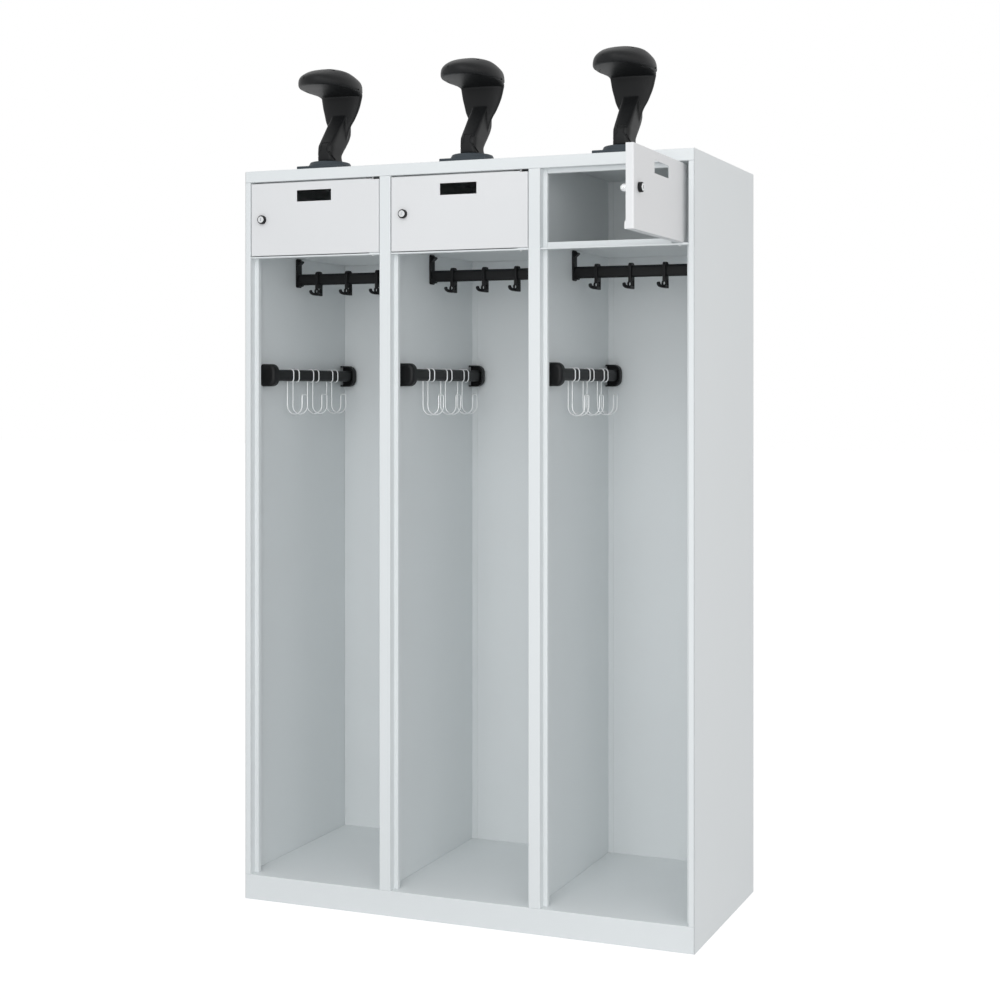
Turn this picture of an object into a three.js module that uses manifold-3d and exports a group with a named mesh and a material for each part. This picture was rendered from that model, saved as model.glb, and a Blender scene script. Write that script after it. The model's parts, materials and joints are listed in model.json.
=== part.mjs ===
// Gear locker for a fire station: a folded sheet-steel case with three open hanging bays.
// Each bay has a small lockable compartment at the top, a coat rail with sliding hooks,
// a bar with wire hooks on its left wall and a helmet holder on the roof above it.
// Millimetres, +Z up. The origin is the middle of the case's front bottom edge, on the floor.
// +X runs to the right of someone who faces the locker, and +Y runs from its front to its back.

import * as THREE from 'three';
import { mergeVertices } from 'three/addons/utils/BufferGeometryUtils.js';
import Module from 'manifold-3d';

const wasm = await Module();
wasm.setup();

// Driving dimensions of the case
const caseWidth = 1200;
const caseDepth = 500;
const caseHeight = 1850;
const bayCount = 3;
const sheet = 1;
const seat = 0.3; // gap between two pieces that rest on each other
const overrun = 5; // how far a cutting solid runs past what it cuts

// Folded front frame: post faces, the rebate behind them and the stop at the rebate's bottom
const postFace = 15;
const rebateDepth = 21.5;
const stopWidth = 10;
const stopLip = 11.5;
const fasciaHeight = 28.5;
const headStop = 10.5;
const plinthHeight = 62.5;
const footFlange = 15;
const backFlange = 14;
const partitionFlange = 15;

// Shelf that is the floor of the lockable compartment
const shelfBelowRoof = 203; // from the case's top to the shelf's
const apronHeight = 17;
const sillSetback = 2;
const beadDepth = 3;
const beadRise = 2.5;
const beadDrop = 1.5;
const hingeLugWidth = 28;

// Door of the lockable compartment
const doorGap = 2;
const doorFootGap = 2;
const doorHeadGap = 4.5;
const doorDepth = 18.5;
const doorFold = 3; // outside radius of the door's upright folds
const doorFlange = 12;
const doorStopTab = [17, 2.5]; // height and reach of the tab at the free corner
const hingeInset = 22; // from the door's hinged edge to its pivot
const pivotDepth = 11; // from the case's front to the pivot
const pinRadius = 2.5;
const pinEnd = 3; // how far a pivot pin runs out past the sheet that holds it
const slotWidth = 98;
const slotHeight = 28.5;
const slotBelowHead = 20.5;
const notchWidth = 20; // the top edge is lowered this far from the hinged edge
const notchHeight = 2;
const doorOpenAngles = [0, 0, 90]; // how far each door stands open, in degrees

// Cylinder lock with a cam
const lockInset = 34; // from the door's free edge
const rosetteRadius = 11;
const rosetteHeight = 9;
const rosetteChamfer = 2;
const lockBodyRadius = 9.25;
const camGap = 0.8; // between the cam and the stop that it locks behind
const plugRadius = 8.2;
const plugFaceDepth = 6;
const shaftRadius = 6.2;
const plugProud = 0.6;
const keySlot = [1.8, 10, 4]; // width, height and depth
const camThickness = 2.5;
const camRadius = 9;
const camReach = 30;
const camTipWidth = 14;
const nutRadius = 7;
const nutHeight = 4;
const nutSides = 6;

// Coat rail and its end brackets
const railHeight = 30;
const railDepth = 15;
const railWall = 1.5;
const railBelowShelf = 57; // from the shelf's top to the rail's axis
const railSetback = 250;
const bracketWidth = 26;
const bracketThickness = 4;
const bracketDrop = 21; // below the rail's axis
const bracketCorner = 5;
const saddleWall = 3;
const saddleReach = 10;
const nubReach = 9;
const nubHeight = 14;
const nubWidth = 14;

// Sliding coat hook
const coatHookCount = 4;
const coatHookPitch = 90;
const hookGap = 0.3;
const hookWidth = 8;
const hookWall = 5.5;
const hookTop = 21; // above the rail's axis
const hookBottom = 44; // below the rail's axis
const hookChamfer = 5.5;
const hookWeb = 4;
const hookBase = 5;
const eyeWidth = 5.2;
const eyeHeight = 9.5;
const eyeRim = 3.4;
const tongueWidth = 7;
const tongueReach = 19;
const tongueRise = 13.5;
const tongueTip = 4.5;
const tongueTwist = 36; // degrees, from square to the rail towards its left end

// Side bar with its two bracket cups, on the left wall of each bay
const barHeight = 30;
const barWidth = 15;
const barBelowShelf = 314.5; // from the shelf's top to the bar's axis
const barFromWall = 28;
const barFront = 69;
const barBackInset = 5; // from the case's back
const cupHeight = 58;
const cupReach = 41.5; // from the wall
const cupCorner = 15;
const cupDepth = 23;
const cupWall = 4;
const cupDome = 5;
const socketWall = 2.5;
const socketDepth = 12;

// Double wire hook on the side bar
const wireHookCount = 3;
const wireHookPitch = 100;
const wireHookMiddle = 281; // the middle hook, from the case's front
const wireDiameter = 3;
const wireSpacing = 27;
const wireGap = 0.5; // between the wire and the bar
const wireDrop = 101.5; // from the bar's axis to the lowest centre line
const wireBowl = 44.3; // across the J, between centre lines
const wireTipDrop = 50;
const wireTipFold = 6;

// Helmet holder on the roof
const plateSide = 120;
const plateHeight = 8.5;
const plateSetback = 15;
const plateChamfer = 1;
const domeRadius = 54.5;
const domeTopRadius = 36;
const domeHeight = 16.5;
const postSetback = 80;
const neckHeight = 175; // from the dome to where the head begins
const neckWidth = 117;
const neckDepth = 74;
const neckLean = 58;
const headWidth = 147;
const headDepth = 202;
const headHeight = 60;
const crownSlot = [80, 8, 13]; // width, depth front to back, and its floor below the crown
const crownSlotLead = 45; // from the post's middle forward

// How finely round forms are faceted. A drawn arc gets two facets for each of its steps.
const arcSteps = 3;
const cornerSteps = 1;
const eyeSteps = 4;
const cupSteps = 2;
const lockSteps = 12;
const pinSteps = 10;
const domeSteps = 16;
const neckSteps = 16;
const wireSides = 5;

// Finishes
const paint = new THREE.MeshStandardMaterial({ color: '#dcdedf', roughness: 0.5, metalness: 0.1 });
const doorPaint = new THREE.MeshStandardMaterial({ color: '#e2e4e5', roughness: 0.5, metalness: 0.1 });
const blackPlastic = new THREE.MeshStandardMaterial({ color: '#2a2c2e', roughness: 0.55, metalness: 0 });
const slatePlastic = new THREE.MeshStandardMaterial({ color: '#464e54', roughness: 0.6, metalness: 0 });
const chrome = new THREE.MeshStandardMaterial({ color: '#d8dbdd', roughness: 0.2, metalness: 1 });

// Turns a closed geometry into a solid for joining and cutting
function solid(geometry) {
  geometry.deleteAttribute('normal');
  geometry.deleteAttribute('uv');
  const merged = mergeVertices(geometry);
  const corners = merged.index.array;
  const faces = [];
  for (let i = 0; i < corners.length; i += 3) {
    const [a, b, c] = corners.slice(i, i + 3);
    if (a !== b && b !== c && c !== a) faces.push(a, b, c);
  }
  const vertProperties = merged.attributes.position.array;
  return new wasm.Manifold(new wasm.Mesh({ numProp: 3, vertProperties, triVerts: new Uint32Array(faces) }));
}

function join(solids) {
  return solids.reduce((whole, piece) => whole.add(piece));
}

function cut(body, solids) {
  return solids.reduce((rest, piece) => rest.subtract(piece), body);
}

function geometryOf(body) {
  const { vertProperties, triVerts } = body.getMesh();
  const geometry = new THREE.BufferGeometry();
  geometry.setAttribute('position', new THREE.BufferAttribute(vertProperties, 3));
  geometry.setIndex(new THREE.BufferAttribute(triVerts, 1));
  return geometry;
}

function part(name, body, material, place = [0, 0, 0]) {
  const geometry = geometryOf(body);
  geometry.computeVertexNormals();
  const mesh = new THREE.Mesh(geometry, material);
  mesh.name = name;
  mesh.position.set(...place);
  return mesh;
}

// A block between two values on each axis
function block([x0, x1], [y0, y1], [z0, z1]) {
  const geometry = new THREE.BoxGeometry(x1 - x0, y1 - y0, z1 - z0);
  geometry.translate((x0 + x1) / 2, (y0 + y1) / 2, (z0 + z1) / 2);
  return solid(geometry);
}

// A section that runs along X is drawn in Y and Z, along Y in Z and X, and along Z in X and Y
const xAxis = new THREE.Vector3(1, 0, 0);
const yAxis = new THREE.Vector3(0, 1, 0);
const zAxis = new THREE.Vector3(0, 0, 1);
const sectionFrames = {
  x: new THREE.Matrix4().makeBasis(yAxis, zAxis, xAxis),
  y: new THREE.Matrix4().makeBasis(zAxis, xAxis, yAxis),
  z: new THREE.Matrix4().makeBasis(xAxis, yAxis, zAxis),
};

function prism(axis, shape, from, to, steps = arcSteps) {
  const options = { depth: to - from, bevelEnabled: false, curveSegments: steps };
  const geometry = new THREE.ExtrudeGeometry(shape, options);
  geometry.translate(0, 0, from);
  geometry.applyMatrix4(sectionFrames[axis]);
  return geometry;
}

// The section of a folded sheet. The path is the sheet's visible face, and its thickness
// lies on the left of someone who walks along the path.
function foldedSection(path) {
  const corners = path.map(([u, v]) => new THREE.Vector2(u, v));
  const normals = corners.slice(1).map((corner, i) => {
    const run = corner.clone().sub(corners[i]).normalize();
    return new THREE.Vector2(-run.y, run.x);
  });
  const inside = corners.map((corner, i) => {
    const before = normals[Math.max(i - 1, 0)];
    const after = normals[Math.min(i, normals.length - 1)];
    const mitre = before.clone().add(after).divideScalar(1 + before.dot(after));
    return corner.clone().addScaledVector(mitre, sheet);
  });
  return new THREE.Shape([...corners, ...inside.reverse()]);
}

function mirrored(path) {
  return path.map(([u, v]) => [-u, v]).reverse();
}

// A flat oval whose round ends lie above and below its middle, drawn with its height along v
function uprightOval(width, height) {
  const radius = width / 2;
  const straight = height / 2 - radius;
  const oval = new THREE.Shape();
  oval.absarc(0, straight, radius, 0, Math.PI);
  oval.absarc(0, -straight, radius, Math.PI, 2 * Math.PI);
  return oval;
}

// A flat oval with its long way along u
function lyingOval(length, width) {
  const radius = width / 2;
  const straight = length / 2 - radius;
  const oval = new THREE.Shape();
  oval.absarc(straight, 0, radius, -Math.PI / 2, Math.PI / 2);
  oval.absarc(-straight, 0, radius, Math.PI / 2, 1.5 * Math.PI);
  return oval;
}

function roundedPlate(width, height, radius) {
  const u = width / 2 - radius;
  const v = height / 2 - radius;
  const plate = new THREE.Shape();
  plate.absarc(u, v, radius, 0, Math.PI / 2);
  plate.absarc(-u, v, radius, Math.PI / 2, Math.PI);
  plate.absarc(-u, -v, radius, Math.PI, 1.5 * Math.PI);
  plate.absarc(u, -v, radius, 1.5 * Math.PI, 2 * Math.PI);
  return plate;
}

// A turned solid about the Y axis, from a profile of radius and place along Y
function turned(profile, steps) {
  const points = profile.map(([radius, y]) => new THREE.Vector2(radius, y));
  return new THREE.LatheGeometry(points, steps);
}

// A closed skin over level rings of equally many corners, listed from the lowest up
function loft(rings) {
  const count = rings[0].length;
  const topStart = count * (rings.length - 1);
  const faces = [];
  for (let start = 0; start < topStart; start += count) {
    for (let i = 0; i < count; i += 1) {
      const a = start + i;
      const b = start + ((i + 1) % count);
      faces.push(a, b, b + count, a, b + count, a + count);
    }
  }
  for (let i = 1; i < count - 1; i += 1) {
    faces.push(0, i + 1, i, topStart, topStart + i, topStart + i + 1);
  }
  const geometry = new THREE.BufferGeometry().setFromPoints(rings.flat());
  geometry.setIndex(faces);
  return geometry;
}

function uprightPin(radius, x, y, z0, z1) {
  const geometry = new THREE.CylinderGeometry(radius, radius, z1 - z0, pinSteps);
  geometry.rotateX(Math.PI / 2);
  geometry.translate(x, y, (z0 + z1) / 2);
  return solid(geometry);
}

// Places that the case and what fits in it share
const halfWidth = caseWidth / 2;
const bayPitch = caseWidth / bayCount;
const wallFace = halfWidth - sheet;
const linerEnd = wallFace - seat;
const stopBack = rebateDepth + stopLip;
const fasciaFoot = caseHeight - fasciaHeight;
const backFace = caseDepth - 2 * sheet - seat;
const linerBack = backFace - seat;
const shelfBack = linerBack - sheet - seat;
const shelfTop = caseHeight - shelfBelowRoof;
const railAxis = shelfTop - railBelowShelf;
const barAxis = shelfTop - barBelowShelf;
const barBack = caseDepth - barBackInset;
const sillTop = shelfTop - apronHeight;
const doorFoot = sillTop + beadRise + doorFootGap;
const doorHead = fasciaFoot - doorHeadGap;
const doorWidth = bayPitch - 2 * postFace - 2 * doorGap;
const pinHole = pinRadius + seat;
const camDepth = stopBack + camGap; // from the closed door's outer face to its cam
const hingeSweep = Math.hypot(hingeInset, doorDepth - pivotDepth) + doorGap / 2;

// A bay's walls, the opening between its posts and the narrower one between its stops
const bays = Array.from({ length: bayCount }, (_, i) => {
  const left = -halfWidth + i * bayPitch;
  const right = left + bayPitch;
  return {
    number: i + 1,
    middle: (left + right) / 2,
    wallLeft: i === 0 ? -wallFace : left + sheet / 2,
    wallRight: i === bayCount - 1 ? wallFace : right - sheet / 2,
    openLeft: left + postFace,
    openRight: right - postFace,
    clearLeft: left + postFace + stopWidth,
    clearRight: right - postFace - stopWidth,
    pivot: right - postFace - doorGap - hingeInset,
    openAngle: THREE.MathUtils.degToRad(doorOpenAngles[i] ?? 0),
  };
});

// What lies round a door's hinged edge is cut away, because that edge swings back as it opens
function hingeRelief(bay) {
  const reach = [bay.pivot - hingeSweep, bay.openRight];
  return block(reach, [rebateDepth - seat, stopBack + overrun], [doorFoot - doorFootGap, fasciaFoot]);
}

function sidePanel(hand) {
  const path = [
    [-halfWidth + backFlange, caseDepth],
    [-halfWidth, caseDepth],
    [-halfWidth, 0],
    [-halfWidth + postFace, 0],
    [-halfWidth + postFace, rebateDepth],
    [-halfWidth + postFace + stopWidth, rebateDepth],
    [-halfWidth + postFace + stopWidth, stopBack],
  ];
  const onRight = hand === 'right';
  const section = foldedSection(onRight ? mirrored(path) : path);
  const inner = wallFace - postFace - stopWidth - overrun;
  const across = onRight ? [inner, wallFace] : [-wallFace, -inner];
  const front = [-overrun, stopBack + overrun];
  const back = [caseDepth - sheet - seat, caseDepth + overrun];
  const cuts = [
    block(across, front, [-overrun, plinthHeight + seat]),
    block(across, front, [fasciaFoot - seat, caseHeight + overrun]),
    block(across, back, [caseHeight - backFlange - seat, caseHeight + overrun]),
  ];
  if (onRight) cuts.push(hingeRelief(bays.at(-1)));
  return cut(solid(prism('z', section, 0, caseHeight)), cuts);
}

// A partition closes a bay on its right. Its front edge is a hollow post that faces both bays.
function partition(bay) {
  const x = bay.openRight + postFace;
  const half = [
    [stopWidth + postFace, stopBack],
    [stopWidth + postFace, rebateDepth],
    [postFace, rebateDepth],
    [postFace, 0],
  ];
  const path = [...half.map(([u, v]) => [x - u, v]), ...mirrored(half).map(([u, v]) => [x - u, v])];
  const foot = plinthHeight + seat;
  const thickness = [x - sheet / 2, x + sheet / 2];
  const post = solid(prism('z', foldedSection(path), foot, fasciaFoot - seat));
  const lower = block(thickness, [sheet / 2, linerBack], [foot, fasciaFoot - seat]);
  const head = caseHeight - sheet - seat;
  const upper = block(thickness, [rebateDepth + sheet + seat, linerBack], [fasciaFoot - sheet, head]);
  const flange = block([x - sheet / 2, x + partitionFlange], [linerBack - sheet, linerBack], [foot, head]);
  return cut(join([post, lower, upper, flange]), [hingeRelief(bay)]);
}

function roof() {
  const path = [
    [caseDepth, caseHeight - backFlange],
    [caseDepth, caseHeight],
    [0, caseHeight],
    [0, fasciaFoot],
    [rebateDepth + sheet, fasciaFoot],
  ];
  const stop = foldedSection([
    [rebateDepth, fasciaFoot + sheet],
    [rebateDepth, fasciaFoot - headStop],
    [stopBack, fasciaFoot - headStop],
  ]);
  const cover = solid(prism('x', foldedSection(path), -linerEnd, linerEnd));
  const stops = bays.map((bay) => solid(prism('x', stop, bay.clearLeft + seat, bay.clearRight - seat)));
  const upright = [fasciaFoot - overrun, fasciaFoot + overrun];
  const holes = bays.map((bay) => uprightPin(pinHole, bay.pivot, pivotDepth, ...upright));
  return cut(join([cover, ...stops]), [...holes, ...bays.map(hingeRelief)]);
}

function floorAndPlinth() {
  const path = [
    [linerBack, plinthHeight - backFlange],
    [linerBack, plinthHeight],
    [0, plinthHeight],
    [0, 0],
    [footFlange, 0],
  ];
  return solid(prism('x', foldedSection(path), -linerEnd, linerEnd));
}

function backPanel() {
  return block([-linerEnd, linerEnd], [backFace, backFace + sheet], [0, caseHeight - sheet - seat]);
}

// The shelf's front edge drops to a sill that runs forward between the posts
function shelf(bay) {
  const shelfFront = rebateDepth + sheet;
  const deckFront = stopBack + seat;
  const nose = foldedSection([
    [deckFront + sheet, shelfTop],
    [shelfFront, shelfTop],
    [shelfFront, sillTop],
    [sillSetback, sillTop],
  ]);
  const between = [bay.openLeft + seat, bay.openRight - seat];
  const lugX = [bay.openRight - doorGap - hingeLugWidth, bay.openRight - doorGap];
  const lugTop = doorFoot - seat;
  const solids = [
    block([bay.wallLeft + seat, bay.wallRight - seat], [deckFront, shelfBack], [shelfTop - sheet, shelfTop]),
    solid(prism('x', nose, bay.clearLeft + seat, bay.clearRight - seat)),
    block(between, [sillSetback, rebateDepth - seat], [sillTop - sheet, sillTop]),
    block(between, [sillSetback, sillSetback + beadDepth], [sillTop - beadDrop, sillTop + beadRise]),
    block(lugX, [sillSetback, pivotDepth + pinRadius + beadDepth], [sillTop - sheet, lugTop]),
  ];
  const pinSocket = uprightPin(pinHole, bay.pivot, pivotDepth, sillTop - overrun, lugTop + overrun);
  return cut(join(solids), [pinSocket, hingeRelief(bay)]);
}

// The door is drawn about its pivot, with the pivot's axis at x = 0 and y = 0
const doorRight = hingeInset;
const doorLeft = hingeInset - doorWidth;
const doorFront = -pivotDepth;
const doorBack = doorDepth - pivotDepth;
const lockX = doorLeft + lockInset;
const lockZ = (doorFoot + doorHead) / 2;

function doorSection(inset, back) {
  const radius = doorFold - inset;
  const section = new THREE.Shape();
  section.moveTo(doorRight - inset, back);
  section.lineTo(doorLeft + inset, back);
  section.absarc(doorLeft + doorFold, doorFront + doorFold, radius, Math.PI, 1.5 * Math.PI);
  section.absarc(doorRight - doorFold, doorFront + doorFold, radius, 1.5 * Math.PI, 2 * Math.PI);
  return section;
}

function door() {
  const slotMiddle = (doorLeft + doorRight) / 2;
  const slotX = [slotMiddle - slotWidth / 2, slotMiddle + slotWidth / 2];
  const slotTop = doorHead - slotBelowHead;
  const flangeY = [doorBack - sheet, doorBack];
  const inside = [doorFoot + sheet / 2, doorHead - sheet / 2];
  const [tabHeight, tabReach] = doorStopTab;
  const tabY = [doorBack - sheet, doorBack + tabReach];
  const skin = prism('z', doorSection(0, doorBack), doorFoot, doorHead, cornerSteps);
  const hollowSection = doorSection(sheet, doorBack + overrun);
  const hollow = prism('z', hollowSection, doorFoot + sheet, doorHead - sheet, cornerSteps);
  const whole = join([
    cut(solid(skin), [solid(hollow)]),
    block([doorLeft + sheet / 2, doorLeft + doorFlange], flangeY, inside),
    block([doorRight - doorFlange, doorRight - sheet / 2], flangeY, inside),
    block([doorLeft, doorLeft + sheet], tabY, [doorFoot, doorFoot + tabHeight]),
  ]);
  const through = [doorFront - overrun, doorFront + sheet + overrun];
  const holeRadius = lockBodyRadius + seat;
  const lockHole = new THREE.CylinderGeometry(holeRadius, holeRadius, 2 * overrun, lockSteps);
  lockHole.translate(lockX, doorFront, lockZ);
  const notchX = [doorRight - notchWidth, doorRight + overrun];
  const notchY = [doorFront - overrun, doorBack + overrun];
  const open = cut(whole, [
    block(slotX, through, [slotTop - slotHeight, slotTop]),
    block(notchX, notchY, [doorHead - notchHeight, doorHead + overrun]),
    solid(lockHole),
  ]);
  return join([
    open,
    uprightPin(pinRadius, 0, 0, doorHead - sheet / 2, fasciaFoot + sheet + pinEnd),
    uprightPin(pinRadius, 0, 0, sillTop - sheet - pinEnd, doorFoot + sheet / 2),
  ]);
}

// The lock's case: a rosette outside the door and a round body behind it
function lockCase() {
  const face = doorFront - rosetteHeight;
  const shoulder = face + plugFaceDepth;
  const back = doorFront + camDepth - seat;
  const profile = [
    [plugRadius + seat, face],
    [rosetteRadius - rosetteChamfer, face],
    [rosetteRadius, face + rosetteChamfer],
    [rosetteRadius, doorFront - seat],
    [lockBodyRadius, doorFront - seat],
    [lockBodyRadius, back],
    [shaftRadius + seat, back],
    [shaftRadius + seat, shoulder],
    [plugRadius + seat, shoulder],
    [plugRadius + seat, face],
  ];
  const geometry = turned(profile, lockSteps);
  geometry.translate(lockX, 0, lockZ);
  return solid(geometry);
}

// The part of the lock that turns with the key: plug, shaft, cam and nut
function lockCore() {
  const face = doorFront - rosetteHeight;
  const shoulder = face + plugFaceDepth;
  const camFront = doorFront + camDepth;
  const camBack = camFront + camThickness;
  const [slotAcross, slotUp, slotDeep] = keySlot;
  const plug = turned([
    [0, face - plugProud],
    [plugRadius, face - plugProud],
    [plugRadius, shoulder - seat],
    [shaftRadius, shoulder - seat],
    [shaftRadius, camBack],
    [0, camBack],
  ], lockSteps);
  const camShape = new THREE.Shape();
  camShape.absarc(0, 0, camRadius, Math.PI, 2 * Math.PI);
  camShape.lineTo(camTipWidth / 2, camReach);
  camShape.lineTo(-camTipWidth / 2, camReach);
  const cam = prism('y', camShape, camFront, camBack);
  const nut = new THREE.CylinderGeometry(nutRadius, nutRadius, nutHeight, nutSides);
  nut.translate(0, camBack + nutHeight / 2 - seat, 0);
  const whole = join([solid(plug), solid(cam), solid(nut)]);
  const slotY = [face - overrun, face + slotDeep];
  return cut(whole, [block([-slotAcross / 2, slotAcross / 2], slotY, [-slotUp / 2, slotUp / 2])]);
}

// Coat rail: a flat oval tube between two wall brackets
function coatRail(bay) {
  const section = uprightOval(railDepth, railHeight);
  section.holes.push(uprightOval(railDepth - 2 * railWall, railHeight - 2 * railWall));
  const inset = bracketThickness + 2 * seat;
  const geometry = prism('x', section, bay.wallLeft + inset, bay.wallRight - inset);
  geometry.translate(0, railSetback, railAxis);
  return solid(geometry);
}

// A rail bracket for the left wall: a plate up to the shelf, a saddle under the tube and a nub
function railBracket() {
  const plateTop = shelfTop - sheet - seat - railAxis;
  const outline = roundedPlate(bracketWidth, plateTop + bracketDrop, bracketCorner);
  const plate = prism('x', outline, 0, bracketThickness, cornerSteps);
  plate.translate(0, 0, (plateTop - bracketDrop) / 2);
  const clearWidth = railDepth + 2 * seat;
  const clearHeight = railHeight + 2 * seat;
  const reach = bracketThickness + saddleReach;
  const ring = uprightOval(clearWidth + 2 * saddleWall, clearHeight + 2 * saddleWall);
  const open = [bracketThickness, reach + overrun];
  const saddle = cut(solid(prism('x', ring, bracketThickness / 2, reach)), [
    solid(prism('x', uprightOval(clearWidth, clearHeight), ...open)),
    block(open, [-bracketWidth, bracketWidth], [-railDepth / 2, railHeight]),
  ]);
  const nubTop = plateTop - bracketCorner;
  const nubShape = new THREE.Shape();
  nubShape.moveTo(nubTop, bracketThickness / 2);
  nubShape.lineTo(nubTop, bracketThickness + nubReach);
  nubShape.lineTo(nubTop - nubHeight, bracketThickness / 2);
  return join([solid(plate), saddle, solid(prism('y', nubShape, -nubWidth / 2, nubWidth / 2))]);
}

// Coat hook: a loop round the rail on two legs, an eye in the front leg and a tongue that
// curls up from its foot
function coatHook() {
  const innerHalf = railDepth / 2 + hookGap;
  const outerHalf = innerHalf + hookWall;
  const windowTop = -railHeight / 2 - hookGap - hookWeb;
  const windowFoot = hookBase - hookBottom;
  const section = new THREE.Shape();
  section.moveTo(outerHalf, -hookBottom);
  section.lineTo(outerHalf, hookTop - hookChamfer);
  section.lineTo(outerHalf - hookChamfer, hookTop);
  section.lineTo(hookChamfer - outerHalf, hookTop);
  section.lineTo(-outerHalf, hookTop - hookChamfer);
  section.lineTo(-outerHalf, -hookBottom);
  const window = new THREE.Path();
  window.moveTo(innerHalf, windowFoot);
  window.lineTo(innerHalf, windowTop);
  window.lineTo(-innerHalf, windowTop);
  window.lineTo(-innerHalf, windowFoot);
  section.holes.push(uprightOval(2 * innerHalf, railHeight + 2 * hookGap), window);
  const loop = prism('x', section, -hookWidth / 2, hookWidth / 2);

  const tongue = new THREE.Shape();
  tongue.moveTo(0, -hookBottom);
  tongue.quadraticCurveTo(-tongueReach, -hookBottom, -tongueReach, tongueRise - hookBottom);
  tongue.lineTo(tongueTip - tongueReach, tongueRise - hookBottom);
  tongue.quadraticCurveTo(tongueTip - tongueReach, windowFoot, 0, windowFoot);
  const curl = prism('x', tongue, -tongueWidth / 2, tongueWidth / 2);
  curl.rotateZ(-THREE.MathUtils.degToRad(tongueTwist));
  curl.translate(0, hookWall / 2 - outerHalf, 0);

  const eyeMiddle = windowFoot + eyeHeight / 2 + seat;
  const rim = new THREE.Shape();
  rim.absellipse(eyeMiddle, 0, eyeHeight / 2 + eyeRim, eyeWidth / 2 + eyeRim, 0, 2 * Math.PI);
  const eye = new THREE.Shape();
  eye.absellipse(eyeMiddle, 0, eyeHeight / 2, eyeWidth / 2, 0, 2 * Math.PI);
  const rimPlate = prism('y', rim, -outerHalf, -innerHalf, eyeSteps);
  const eyeHole = prism('y', eye, -outerHalf - overrun, -innerHalf + hookGap, eyeSteps);
  return cut(join([solid(loop), solid(curl), solid(rimPlate)]), [solid(eyeHole)]);
}

// A bracket cup of the side bar: an open box with two round corners and a domed closed end.
// It is open towards the wall, and the bar's socket stands inside it. It is drawn about the
// bar's axis, with its closed end at y = 0.
function cupSection(inset, wall) {
  const radius = cupCorner - inset;
  const top = cupHeight / 2 - cupCorner;
  const side = cupReach - barFromWall - cupCorner;
  const section = new THREE.Shape();
  section.absarc(top, side, radius, 0, Math.PI / 2);
  section.absarc(-top, side, radius, Math.PI / 2, Math.PI);
  section.lineTo(inset - cupHeight / 2, wall);
  section.lineTo(cupHeight / 2 - inset, wall);
  return section;
}

function bracketCup() {
  const options = {
    depth: cupDepth,
    bevelThickness: cupDome,
    bevelSize: cupDome,
    bevelOffset: -cupDome,
    bevelSegments: 2,
    curveSegments: cupSteps,
  };
  const wall = seat - barFromWall;
  const shell = new THREE.ExtrudeGeometry(cupSection(0, wall - cupDome), options);
  shell.translate(0, 0, cupDome);
  shell.applyMatrix4(sectionFrames.y);
  const past = cupDepth + 2 * cupDome + overrun;
  const aside = [-cupHeight, cupHeight];
  const hollow = prism('y', cupSection(cupWall, wall - overrun), cupDome, past, cupSteps);
  const socket = lyingOval(barHeight + 2 * socketWall, barWidth + 2 * socketWall);
  const cup = cut(solid(shell), [
    solid(hollow),
    block(aside, [cupDepth, past], aside),
    block([wall - cupHeight, wall], [-overrun, past], aside),
  ]);
  return join([cup, solid(prism('y', socket, cupDome / 2, socketDepth))]);
}

// The side bar is a solid oval bar with a cup on each end, drawn about the bar's axis
function sideBar() {
  const frontCup = geometryOf(bracketCup());
  const backCup = frontCup.clone();
  frontCup.translate(0, barFront, 0);
  backCup.rotateX(Math.PI);
  backCup.translate(0, barBack, 0);
  const bar = prism('y', lyingOval(barHeight, barWidth), barFront + cupDome / 2, barBack - cupDome / 2);
  return join([solid(frontCup), solid(bar), solid(backCup)]);
}

// A wire's centre line: straight runs with round bends. It hands out its own stations, so that
// a straight run takes one step and a bend a few.
class BentWire extends THREE.Curve {
  constructor(start, bends, end) {
    super();
    this.stations = [];
    const corners = [start, ...bends.map((bend) => bend.at), end];
    const runs = corners.slice(1).map((corner, i) => corner.clone().sub(corners[i]).normalize());
    this.add(start, runs[0]);
    bends.forEach(({ at, radius, steps }, i) => this.bend(at, radius, steps, runs[i], runs[i + 1]));
    this.add(end, runs.at(-1));
  }

  add(point, tangent) {
    const last = this.stations.at(-1);
    if (last && last.point.distanceTo(point) < seat) return;
    this.stations.push({ point: point.clone(), tangent: tangent.clone() });
  }

  bend(at, radius, steps, before, after) {
    const angle = before.angleTo(after);
    const inward = after.clone().addScaledVector(before, -Math.cos(angle)).divideScalar(Math.sin(angle));
    const centre = at.clone().addScaledVector(before, -radius * Math.tan(angle / 2));
    centre.addScaledVector(inward, radius);
    for (let step = 0; step <= steps; step += 1) {
      const turn = (angle * step) / steps;
      const point = centre.clone().addScaledVector(inward, -radius * Math.cos(turn));
      point.addScaledVector(before, radius * Math.sin(turn));
      const tangent = before.clone().multiplyScalar(Math.cos(turn));
      this.add(point, tangent.addScaledVector(inward, Math.sin(turn)));
    }
  }

  getPointAt(share, target = new THREE.Vector3()) {
    return target.copy(this.stations[Math.round(share * (this.stations.length - 1))].point);
  }

  getTangentAt(share, target = new THREE.Vector3()) {
    return target.copy(this.stations[Math.round(share * (this.stations.length - 1))].tangent);
  }
}

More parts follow.
